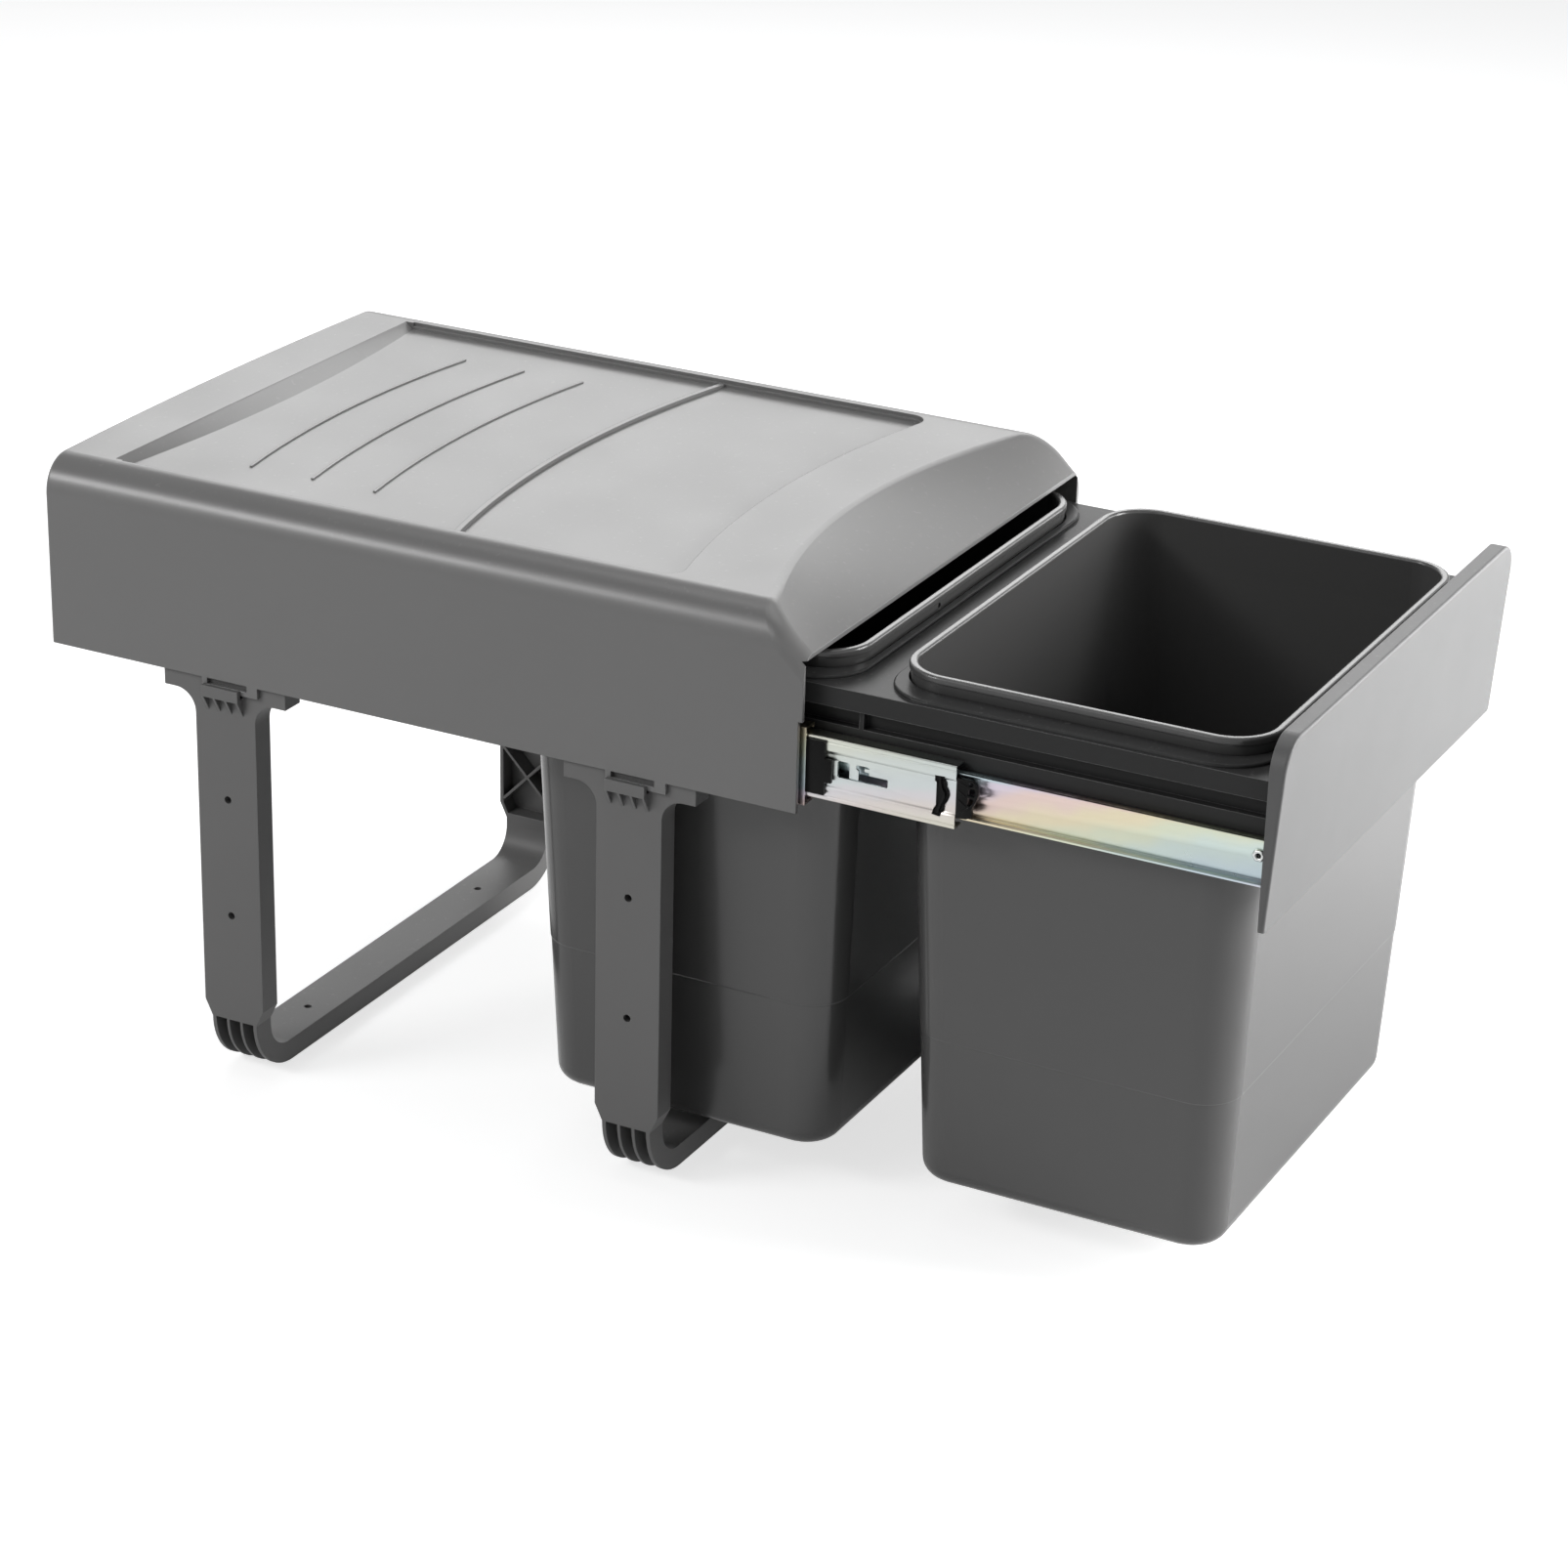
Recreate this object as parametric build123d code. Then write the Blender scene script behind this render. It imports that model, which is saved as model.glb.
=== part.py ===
from build123d import *
import math
import os

# Two-bin pull-out for a kitchen base cabinet, drawn pulled out as in the photograph.
# X is the width (0 = middle), the drawer pulls out towards -Y, Z is up and the floor is Z = 0.
# Lengths are millimetres. A "reach" is a distance in front of the cover's mouth: y = mouth_y - reach.

# Cover
cover_width = 350.0
cover_length = 480.0
cover_height = 358.5
cover_side_height = 109.5
cover_wall = 2.5
cover_edge_radius = 20.0
cover_rear_bow = 5.0
cover_rear_edge_radius = 2.0
hood_front_drop = 22.0
hood_arch_depth = 58.0
hood_arch_bow = 38.8
hood_side_radius = 10.0
mouth_setback = 2.5
mouth_setback_height = 52.0
catch_tab_drop = 6.5
catch_tab_behind = 13.5
catch_tab_ahead = 23.5
catch_bar_height = 3.0
catch_tab_margin = 3.5

# Tray pocket in the cover's top
tray_side_margin = 21.5
tray_depth = 4.3
tray_lip = 1.4
tray_lip_depth = 2.4
tray_rear_margin = 33.0
tray_rear_scoop = 5.0
tray_rear_scoop_bow = 10.5
tray_front_margin = 85.0
tray_front_radius = 617.0
tray_corner = 10.0
bead_radius = 680.0
bead_margin = 38.5
bead_width = 1.6
bead_height = 0.8
bead_first = 98.5
bead_pitch = 41.0
bead_count = 3
bead_root = 0.5
ridge_place = 255.5
ridge_width = 3.4
ridge_height = 2.0

# Floor-standing leg frames
leg_width = 40.0
leg_depth = 14.5
leg_skin = 3.0
leg_cheek = 2.4
leg_rib = 1.8
leg_bend_radius = 36.0
leg_inner_radius = 18.0
leg_head_width = 81.0
leg_head_drop = 10.5
leg_head_fillet = 13.0
leg_head_overlap = 3.0
leg_bar_width = 30.4
leg_bar_height = 13.0
leg_neck_top = 46.0
leg_neck_bottom = 36.0
leg_rear_place = 116.3
leg_front_place = 103.7
leg_slots = 3
screw_hole = 4.5
side_hole_low = 103.0
side_hole_spacing = 72.5
floor_hole_margin = 78.0
crossbar_rib_shares = (-1, -0.5, 0, 0.5, 1)
tongue_width = 60.0
tongue_rise = 15.4
tongue_corner = 6.0
tongue_thickness = 2.5
hook_gap = 0.3
hook_plate = 2.7
hook_width = 24.4
hook_height = 6.8
hook_shelf = 2.0
hook_gusset_drop = 9.5
hook_gusset = 1.4
hook_gussets = 4

# Ball-bearing slides, with heights counted from the slide's own middle
slide_rise = 25.6
slide_rear_room = 30.0
slide_stack = 12.7
slide_steel = 1.2
slide_gap = 0.3
cabinet_half = 22.0
cabinet_flange = 9.5
cabinet_lip = 1.3
middle_half = 17.75
middle_shorter = 10.0
middle_reach = 85.5
middle_jog = 1.2
middle_jog_height = 9.5
drawer_half = 12.8
drawer_flange_start = 6.4
drawer_panel_gap = 0.5
cage_sheet = 0.6
outer_cage_arm = 4.6
inner_cage_arm = 5.0
outer_cage_length = 180.0
outer_cage_reach = -60.0
inner_cage_length = 125.0
inner_cage_reach = 0.0
ball_play = 0.05
ball_count = 5
window_middle = 20.75
window_width = 7.5
window_low = -2.9
window_high = 5.1
slot_width = 20.5
slot_height = 3.8
hook_tab_start = 27.0
hook_tab_width = 8.0
hook_tab_rise = 1.2
catch_slot_middle = 79.3
catch_slot_width = 7.5
catch_slot_half = 11.0

# Buffer in the middle member's nose and stop plate in front of the cabinet member
buffer_half = 11.3
buffer_thickness = 3.8
buffer_rear_reach = 73.0
buffer_nose_reach = 98.0
buffer_corner = 3.0
buffer_slit = 1.4
buffer_slit_length = 17.0
buffer_slits = 2
stop_height_above = 16.0
stop_height_below = 14.0
stop_reach = 11.0
stop_step = 4.0
stop_step_half = 6.5
stop_tongue = 12.0
stop_tongue_half = 8.0
stop_thickness = 2.1

# Release lever in each drawer member
lever_thickness = 1.4
lever_width = 8.0
lever_reach = 10.0
lever_length = 70.0
lever_pad_width = 9.0
lever_pad_length = 14.0
lever_pivot_inset = 7.0
lever_pivot_radius = 2.0
lever_pivot_play = 0.08
lever_waist = 5.0
lever_head_radius = 3.4
lever_head = 0.6

# Drawer carrier
carrier_side_room = 12.0
carrier_deck_drop = 39.0
carrier_deck = 3.0
carrier_wall = 2.5
carrier_rear_margin = 12.8
carrier_side_height = 57.5
carrier_lip_height = 11.2
carrier_ledge_drop = 22.9
carrier_ledge = 2.6
carrier_recess = 5.0
carrier_screed = 2.2
carrier_pad_inset = 1.0
carrier_pad_margin = 4.0
carrier_pad_corner = 32.0
carrier_pad_round = 1.3
carrier_bridge_height = 29.5
sleeve_wall = 2.0
seat_drop = 16.5
seat_thickness = 3.0
seat_gap = 0.3
neck_clearance = 1.0
ledge_clearance = 0.8

# Bins
bin_side_room = 25.5
bin_depth = 206.8
bin_top_rise = 11.5
bin_bottom = 28.0
bin_corner = 28.5
bin_rim_band = 4.6
bin_rim_height = 3.6
bin_rim_round = 1.5
bin_rim_overhang = 1.0
bin_shoulder_step = 2.6
bin_side_draft = 12.0
bin_end_draft = 10.8
bin_foot_corner = 22.0
bin_wall = 1.8
bin_floor_round = 10.0
bin_parting = 118.0
bin_parting_step = 0.4
bin_vent = 1.6
bin_vent_place = -39.0
bin_vent_drop = 7.0
front_bin_margin = 11.6
bin_gap = 24.0

# Front panel
panel_side_room = 3.0
panel_drop = 9.0
panel_top_drop = 14.0
panel_reach = 256.0
panel_depth_top = 9.5
panel_depth_bottom = 3.2
panel_corner = 18.0
panel_lower_corner = 3.0
panel_wall = 2.2
panel_edge_round = 1.4
panel_boss_radius = 5.0
panel_rib = 1.5
panel_ribs = 6

# Fasteners
rivet_head_radius = 3.6
rivet_head = 1.0
rivet_shank_radius = 2.2
rivet_bore_radius = 1.3
rivet_end_margin = 6.5
rivet_pitch = 184.0
rivet_count = 3
rivet_rise = 2.0
slide_screw_radius = 2.0
slide_screw_head_radius = 3.4
slide_screw_half_span = 16.0
slide_screw_bite = 2.0
panel_screw_radius = 1.7
panel_screw_head_radius = 3.6
panel_screw_head = 2.0
panel_screw_bite = 4.0
panel_screw_margin = 55.0
panel_screw_rise = 32.0
panel_screw_spacing = 28.0

# One overrun for every cut that has to break through a face
overrun = 4.0

# The object is centred on X = 0 and Y = 0 at the photographed opening
overall_length = cover_rear_bow + cover_length + panel_reach + panel_depth_top
mouth_y = -overall_length / 2 + panel_depth_top + panel_reach
back_y = mouth_y + cover_length
half_width = cover_width / 2
inner_half = half_width - cover_wall
slide_back = inner_half - tongue_thickness

# Places that follow the cover's size
cover_skirt_bottom = cover_height - cover_side_height
hood_front_edge = cover_height - hood_front_drop
hood_arch_radius = (hood_arch_bow ** 2 + half_width ** 2) / (2 * hood_arch_bow)
tray_width = cover_width - 2 * tray_side_margin
bead_half_span = tray_width / 2 - bead_margin
leg_head_bottom = cover_skirt_bottom - leg_head_drop
leg_spacing = cover_length - leg_rear_place - leg_front_place
floor_hole_half_span = half_width - floor_hole_margin
slide_middle = cover_skirt_bottom + slide_rise
slide_length = cover_length - slide_rear_room
middle_length = slide_length - middle_shorter
drawer_reach = panel_reach - drawer_panel_gap
rivet_first_reach = drawer_reach - rivet_end_margin
bin_width = cover_width - 2 * bin_side_room
front_bin_middle = panel_reach - front_bin_margin - bin_depth / 2
rear_bin_middle = front_bin_middle - bin_depth - bin_gap
carrier_half_width = half_width - carrier_side_room
carrier_rear_reach = rear_bin_middle - bin_depth / 2 - carrier_rear_margin
carrier_deck_top = cover_height - carrier_deck_drop
carrier_side_bottom = carrier_deck_top - carrier_side_height
carrier_ledge_top = carrier_deck_top - carrier_ledge_drop
carrier_bridge_bottom = carrier_deck_top - carrier_bridge_height
seat_top = carrier_deck_top - seat_drop
bin_top = carrier_deck_top + bin_top_rise
panel_width = cover_width - 2 * panel_side_room
panel_bottom = cover_skirt_bottom - panel_drop
panel_top = cover_height - panel_top_drop
panel_screw_half_span = half_width - panel_screw_margin
panel_screw_low = panel_bottom + panel_screw_rise
panel_screw_high = panel_screw_low + panel_screw_spacing

# Depths inside one slide, counted inwards from the cabinet member's back
outer_cage_u = slide_steel + slide_gap
middle_u = outer_cage_u + cage_sheet + slide_gap
middle_web_u = middle_u + middle_jog
inner_cage_u = middle_web_u + slide_steel + slide_gap
drawer_web_u = slide_stack - slide_steel
middle_tip_u = drawer_web_u - 2 * slide_gap
lever_u = drawer_web_u - slide_gap - lever_thickness
outer_ball_u = middle_u + (cabinet_flange - middle_u) / 2 - slide_gap
inner_ball_u = (drawer_flange_start + middle_tip_u) / 2


def y_at(reach):
    return mouth_y - reach


def along_y(points, rear, front):
    """Prism of an XZ outline from one reach to a larger one."""
    face = make_face(Polyline(*points, close=True))
    return extrude(Plane.XZ.offset(-y_at(rear)) * face, amount=front - rear)


def along_x(face, low, high):
    """Prism of a YZ face between two X values."""
    return extrude(Plane.YZ.offset(low) * face, amount=high - low)


def upright(face, low, high):
    """Prism of a plan face between two heights."""
    return extrude(Pos(0, 0, low) * face, amount=high - low)


def slab(x_low, x_high, y_low, y_high, z_low, z_high):
    middle = ((x_low + x_high) / 2, (y_low + y_high) / 2, (z_low + z_high) / 2)
    return Pos(*middle) * Box(x_high - x_low, y_high - y_low, z_high - z_low)


def rod_x(radius, x_low, x_high, y, z):
    return Pos((x_low + x_high) / 2, y, z) * Rot(0, 90, 0) * Cylinder(radius, x_high - x_low)


def rod_y(radius, rear, front, x, z):
    return Pos(x, y_at((rear + front) / 2), z) * Rot(90, 0, 0) * Cylinder(radius, front - rear)


def rod_z(radius, low, high, x, y):
    return Pos(x, y, (low + high) / 2) * Cylinder(radius, high - low)


def both_sides(shape):
    return shape + mirror(shape, about=Plane.YZ)


def group(shapes):
    """Separate solids that share one node."""
    solids = []
    for shape in shapes:
        solids.extend(shape.solids())
    return Compound(children=solids)


def sagitta(radius, half_chord):
    return radius - math.sqrt(radius ** 2 - half_chord ** 2)


def bowed_edge(start_x, end_x, y, bow):
    if bow == 0:
        return Line((start_x, y), (end_x, y))
    return ThreePointArc((start_x, y), ((start_x + end_x) / 2, y + bow), (end_x, y))


def plan_face(rear_y, rear_bow, front_y, front_bow, half):
    """Plan outline whose rear and front may be bowed; a positive bow bulges to the rear."""
    rear = bowed_edge(half, -half, rear_y, rear_bow)
    front = bowed_edge(-half, half, front_y, front_bow)
    left = Line((-half, rear_y), (-half, front_y))
    right = Line((half, front_y), (half, rear_y))
    return make_face([rear, left, front, right])


# Cover

def hood_cutter(sink):
    """All that lies above the sloping crescent at the mouth, lowered by sink."""
    reach_side = half_width + overrun
    bow = sagitta(hood_arch_radius, reach_side)
    arch_end = mouth_y + hood_arch_depth - bow
    ahead = mouth_y - overrun
    low_z = hood_front_edge - sink
    high_z = cover_height - sink
    clear_z = cover_height + overrun
    upper = plan_face(arch_end, bow, ahead, 0, reach_side)
    lower = plan_face(mouth_y, 0, ahead, 0, reach_side)
    wedge = loft([Pos(0, 0, low_z) * lower, Pos(0, 0, high_z) * upper], ruled=True)
    return wedge + upright(upper, high_z, clear_z) + slab(
        -reach_side, reach_side, ahead - overrun, ahead, low_z, clear_z)


def tray_cutter():
    """Shallow pocket with a stepped edge and a sloping crescent at its rear."""
    floor_z = cover_height - tray_depth
    half = tray_width / 2
    rear = back_y - tray_rear_margin
    foot = rear - tray_rear_scoop
    front = mouth_y + tray_front_margin
    bow = sagitta(tray_front_radius, half)
    rim = plan_face(foot, -tray_rear_scoop_bow, front, bow, half)
    rim = fillet(rim.vertices().sort_by(Axis.Y)[:2], tray_corner)
    upper = upright(rim, cover_height - tray_lip_depth, cover_height + overrun)
    bed = plan_face(foot, -tray_rear_scoop_bow, front + tray_lip, bow, half - tray_lip)
    bed = fillet(bed.vertices().sort_by(Axis.Y)[:2], tray_corner - tray_lip)
    lower = upright(bed, floor_z, cover_height)
    ahead = foot - 2 * tray_rear_scoop_bow
    scoop_foot = plan_face(foot, -tray_rear_scoop_bow, ahead, 0, half - tray_lip)
    scoop_top = plan_face(rear, 0, ahead, 0, half - tray_lip)
    scoop = loft([Pos(0, 0, floor_z) * scoop_foot, Pos(0, 0, cover_height) * scoop_top], ruled=True)
    return upper + lower + scoop


def tray_bead(place, half_span, width, height):
    """Raised line across the tray floor, an arc that bulges to the rear."""
    bow = sagitta(bead_radius, half_span)
    y = back_y - place
    face = plan_face(y + width / 2, bow, y - width / 2, bow, half_span)
    floor_z = cover_height - tray_depth
    return upright(face, floor_z - bead_root, floor_z + height)


def hood_side_edges(block, inset):
    """Edges where the sloping crescent meets the rolled sides."""
    found = []
    for edge in block.edges():
        middle = edge.center()
        beside = abs(middle.X) > half_width - cover_edge_radius
        sloping = hood_front_edge - inset < middle.Z < cover_height - inset
        if beside and sloping and middle.Y < mouth_y + hood_arch_depth:
            found.append(edge)
    return found


def cover_block(inset, open_end):
    """Outer form of the cover, drawn in by inset and run on past its open ends."""
    plan = plan_face(back_y - inset, cover_rear_bow, mouth_y - open_end, 0, half_width - inset)
    block = upright(plan, cover_skirt_bottom - open_end, cover_height - inset)
    long_edges = block.edges().filter_by(Axis.Y).group_by(Axis.Z)[-1]
    block = fillet(long_edges, cover_edge_radius - inset)
    block = block - hood_cutter(inset)
    return fillet(hood_side_edges(block, inset), hood_side_radius - inset)


def catch_tab(leg_y):
    """Tab below the skirt with the bar that the leg's hook holds."""
    low = cover_skirt_bottom - catch_tab_drop
    rear = leg_y + catch_tab_behind
    front = leg_y - catch_tab_ahead
    tab = slab(inner_half, half_width, front, rear, low, cover_skirt_bottom)
    window = slab(inner_half, half_width, front + 2 * catch_tab_margin, rear - catch_tab_margin,
                  low + catch_bar_height, cover_skirt_bottom)
    return both_sides(tab - window)


def cover_shell():
    shell = cover_block(0, 0)
    rear_edge = shell.edges().filter_by(GeomType.CIRCLE).group_by(Axis.Z)[-1].sort_by(Axis.Y)[-1]
    shell = fillet(rear_edge, cover_rear_edge_radius)
    room = cover_block(cover_wall, overrun)
    pad_half = tray_width / 2 + cover_wall
    pad_front = mouth_y + tray_front_margin - cover_wall
    pad_plan = plan_face(back_y - tray_rear_margin + cover_wall, 0, pad_front,
                         sagitta(tray_front_radius, pad_half), pad_half)
    pad = upright(pad_plan, cover_height - tray_depth - cover_wall, cover_height)
    shell = shell - (room - pad)
    shell = shell - tray_cutter()
    for index in range(bead_count):
        shell = shell + tray_bead(bead_first + index * bead_pitch, bead_half_span, bead_width, bead_height)
    shell = shell + tray_bead(ridge_place, tray_width / 2 - tray_lip, ridge_width, ridge_height)
    outside = half_width + overrun
    notch = slab(-outside, outside, mouth_y - overrun, mouth_y + mouth_setback,
                 cover_skirt_bottom - overrun, cover_skirt_bottom + mouth_setback_height)
    shell = shell - notch
    for index in (0, 1):
        shell = shell + catch_tab(leg_y(index))
    return shell


# Leg frames

def leg_y(index):
    return back_y - leg_rear_place - index * leg_spacing


def leg_outline(inset):
    """YZ outline: wide head, shaft and narrower foot, drawn in by inset."""
    head = leg_head_width / 2 - inset
    shaft = leg_width / 2 - inset
    foot = leg_bar_width / 2 - inset
    top = cover_skirt_bottom + leg_head_overlap - inset
    low = leg_head_bottom + inset
    right = [(head, top), (head, low), (shaft, low), (shaft, leg_neck_top), (foot, leg_neck_bottom)]
    right.append((foot, -overrun))
    left = [(-y, z) for y, z in reversed(right)]
    face = make_face(Polyline(*right, *left, close=True))
    corners = face.vertices().group_by(Axis.Y)[-2].sort_by(Axis.X)[1:3]
    return fillet(corners, leg_head_fillet)


def cup(half, radius, floor, top):
    """XZ region inside a U with rounded lower corners."""
    face = make_face(Polyline((-half, top), (-half, floor), (half, floor), (half, top), close=True))
    return fillet(face.vertices().sort_by(Axis.Y)[:2], radius)


def across_leg(face, half):
    return extrude(Plane.XZ.offset(-half) * face, amount=2 * half)


def lattice_rib(z, pitch, half, sign):
    """One leaning rib of the lattice, as a YZ face."""
    lean = leg_rib / 2 * math.hypot(2 * half, pitch) / pitch
    start = -sign * half
    end = sign * half
    points = [(start - lean, z), (start + lean, z), (end + lean, z + pitch), (end - lean, z + pitch)]
    return make_face(Polyline(*points, close=True))


def leg_lattice():
    """Crossed ribs in both uprights whose crossings lie on the side holes."""
    half = leg_width / 2 - leg_cheek
    pitch = side_hole_spacing / 2
    low = side_hole_low - pitch / 2
    below = int((low - leg_neck_top) / pitch)
    above = int((leg_head_bottom - low) / pitch)
    keep = slab(inner_half - leg_depth, inner_half - leg_skin, -half, half, leg_neck_bottom, leg_head_bottom)
    ribs = []
    for index in range(-below, above):
        for sign in (-1, 1):
            rib = along_x(lattice_rib(low + index * pitch, pitch, half, sign),
                          inner_half - leg_depth, inner_half - leg_skin)
            ribs.append(rib & keep)
    for step in (0, 1):
        ribs.append(rod_x(screw_hole, inner_half - leg_depth, inner_half - leg_skin, 0,
                          side_hole_low + step * side_hole_spacing))
    return ribs


def leg_pocket():
    """Hollow of both uprights, open to the inside, behind the outer plate."""
    top = cover_skirt_bottom + leg_head_overlap
    behind = inner_half - leg_skin
    block = slab(-behind, behind, -leg_head_width, leg_head_width, leg_neck_bottom + leg_skin, top)
    return block & along_x(leg_outline(leg_cheek), -behind, behind)


def leg_slots_cut():
    """Slots between the lengthwise ribs under the crossbar, running round both bends."""
    outside = cup(inner_half + overrun, leg_bend_radius, -overrun, leg_neck_bottom)
    plate_half = inner_half - leg_depth + leg_skin
    plate = cup(plate_half, leg_inner_radius + leg_skin, leg_bar_height - leg_skin, leg_neck_bottom)
    region = outside - plate
    width = (leg_bar_width - 2 * leg_cheek - (leg_slots - 1) * leg_rib) / leg_slots
    pitch = width + leg_rib
    cuts = []
    for index in range(leg_slots):
        shift = (index - (leg_slots - 1) / 2) * pitch
        cuts.append(Pos(0, shift, 0) * across_leg(region, width / 2))
    return cuts


def leg_tongue():
    """Flat upright that stands between the cover's wall and the slide."""
    top = slide_middle + tongue_rise
    half = tongue_width / 2
    points = [(-half, leg_head_bottom + leg_head_overlap), (half, leg_head_bottom + leg_head_overlap)]
    points += [(half, top), (-half, top)]
    face = make_face(Polyline(*points, close=True))
    face = fillet(face.vertices().sort_by(Axis.Y)[2:], tongue_corner)
    return along_x(face, slide_back, inner_half)


def leg_hook():
    """Outboard hook with gussets that holds the cover's lower edge."""
    plate_in = half_width + hook_gap
    plate_out = plate_in + hook_plate
    half = hook_width / 2
    top = leg_head_bottom + hook_height
    plate = slab(plate_in, plate_out, -half, half, leg_head_bottom, top)
    shelf = slab(inner_half, plate_in, -half, half, leg_head_bottom, leg_head_bottom + hook_shelf)
    hook = plate + shelf
    triangle = [(inner_half, leg_head_bottom), (plate_out, leg_head_bottom)]
    triangle.append((inner_half, leg_head_bottom - hook_gusset_drop))
    face = make_face(Polyline(*triangle, close=True))
    pitch = (hook_width - hook_gusset) / (hook_gussets - 1)
    for index in range(hook_gussets):
        shift = index * pitch - (hook_width - hook_gusset) / 2
        hook = hook + Pos(0, shift, 0) * across_leg(face, hook_gusset / 2)
    return hook


def leg_frame():
    """One moulded U across the floor with its two uprights, centred on its own middle."""
    top = cover_skirt_bottom + leg_head_overlap
    outer = cup(inner_half, leg_bend_radius, 0, top)
    inner = cup(inner_half - leg_depth, leg_inner_radius, leg_bar_height, top)
    frame = across_leg(outer - inner, leg_head_width)
    frame = frame & along_x(leg_outline(0), -inner_half - overrun, inner_half + overrun)
    frame = frame - leg_pocket()
    for slot in leg_slots_cut():
        frame = frame - slot
    for share in crossbar_rib_shares:
        x = share * floor_hole_half_span
        frame = frame + slab(x - leg_rib / 2, x + leg_rib / 2, -leg_bar_width / 2, leg_bar_width / 2,
                             0, leg_bar_height)
    for rib in leg_lattice():
        frame = frame + both_sides(rib)
    frame = frame + both_sides(leg_tongue()) + both_sides(leg_hook())
    for side in (-1, 1):
        x = side * floor_hole_half_span
        frame = frame + rod_z(screw_hole, 0, leg_bar_height, x, 0)
        frame = frame - rod_z(screw_hole / 2, -overrun, leg_bar_height + overrun, x, 0)
    for step in (0, 1):
        z = side_hole_low + step * side_hole_spacing
        frame = frame - both_sides(rod_x(screw_hole / 2, inner_half - leg_depth - overrun,
                                         inner_half + overrun, 0, z))
    return frame


# Slides, drawn on the left side

def slide_x(u):
    return -slide_back + u


def rail(upper_half, rear, front):
    """Rolled section, given by the half above the slide's middle, between two reaches."""
    points = upper_half + [(u, -z) for u, z in reversed(upper_half)]
    return along_y([(slide_x(u), slide_middle + z) for u, z in points], rear, front)


def rail_window(u_low, u_high, rear, front, low, high):
    """Block inside the slide, given by depths, reaches and heights above its middle."""
    bottom = slide_middle + low
    top = slide_middle + high
    return slab(slide_x(u_low), slide_x(u_high), y_at(front), y_at(rear), bottom, top)


def cabinet_member():
    inside = cabinet_half - slide_steel
    lip = inside - cabinet_lip
    lip_u = cabinet_flange - slide_steel
    upper = [(slide_steel, inside), (lip_u, inside), (lip_u, lip)]
    upper += [(cabinet_flange, lip), (cabinet_flange, cabinet_half), (0, cabinet_half)]
    return rail(upper, -slide_length, 0)


def middle_member():
    inside = middle_half - slide_steel
    jog = middle_jog_height
    web_in = middle_web_u + slide_steel
    upper = [(web_in, jog), (web_in - middle_jog, jog + middle_jog), (web_in - middle_jog, inside)]
    upper += [(middle_tip_u, inside), (middle_tip_u, middle_half), (middle_u, middle_half)]
    upper += [(middle_u, jog + middle_jog / 2), (middle_web_u, jog - middle_jog / 2)]
    member = rail(upper, middle_reach - middle_length, middle_reach)
    u_low = middle_u - slide_gap
    u_high = web_in + slide_gap
    window_end = window_middle + window_width / 2
    member = member - rail_window(u_low, u_high, window_end - window_width, window_end,
                                  window_low, window_high)
    member = member - rail_window(u_low, u_high, window_end, window_end + slot_width,
                                  window_low, window_low + slot_height)
    member = member - rail_window(u_low, u_high, hook_tab_start, hook_tab_start + hook_tab_width,
                                  window_low, window_high - slide_gap)
    tab_low = window_low + slot_height - slide_gap
    tab = rail_window(middle_web_u - hook_tab_rise, middle_web_u, hook_tab_start + slide_gap,
                      hook_tab_start + hook_tab_width - slide_gap, tab_low, window_high)
    member = member + tab
    slot_front = catch_slot_middle + catch_slot_width / 2
    return member - rail_window(u_low, u_high, slot_front - catch_slot_width, slot_front,
                                -catch_slot_half, catch_slot_half)


def drawer_member():
    inside = drawer_half - slide_steel
    upper = [(drawer_web_u, inside), (drawer_flange_start, inside), (drawer_flange_start, drawer_half)]
    upper.append((slide_stack, drawer_half))
    return rail(upper, drawer_reach - slide_length, drawer_reach)


def ball_places(half, length, reach):
    """Reaches and heights of the balls in one cage."""
    pitch = length / ball_count
    places = []
    for index in range(ball_count):
        for sign in (-1, 1):
            places.append((reach - length + pitch / 2 + index * pitch, slide_middle + sign * half))
    return places


def balls(radius, u, places):
    return [Pos(slide_x(u), y_at(reach), z) * Sphere(radius) for reach, z in places]


def ball_cage(cage_u, arm_u, low, high, length, reach):
    """Folded strip whose thick arms hold the balls between two members."""
    upper = [(cage_u + cage_sheet, low), (arm_u, low), (arm_u, high), (cage_u, high)]
    return rail(upper, reach - length, reach)


def outer_ball_row():
    half = (cabinet_half - slide_steel + middle_half) / 2
    radius = (cabinet_half - slide_steel - middle_half) / 2 - ball_play
    return radius, ball_places(half, outer_cage_length, outer_cage_reach)


def inner_ball_row():
    half = (middle_half - slide_steel + drawer_half) / 2
    radius = (middle_half - slide_steel - drawer_half) / 2 - ball_play
    return radius, ball_places(half, inner_cage_length, inner_cage_reach)


def outer_cage():
    radius, places = outer_ball_row()
    cage = ball_cage(outer_cage_u, outer_cage_u + cage_sheet + outer_cage_arm, middle_half + slide_gap,
                     cabinet_half - slide_steel - slide_gap, outer_cage_length, outer_cage_reach)
    for pocket in balls(radius + slide_gap, outer_ball_u, places):
        cage = cage - pocket
    return cage


def inner_cage():
    radius, places = inner_ball_row()
    cage = ball_cage(inner_cage_u, inner_cage_u + cage_sheet + inner_cage_arm, drawer_half + slide_gap,
                     middle_half - slide_steel - slide_gap, inner_cage_length, inner_cage_reach)
    for pocket in balls(radius + slide_gap, inner_ball_u, places):
        cage = cage - pocket
    return cage


def reach_face(points):
    """YZ face from (reach, height above the slide's middle) points."""
    return make_face(Polyline(*[(y_at(reach), slide_middle + z) for reach, z in points], close=True))


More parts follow.
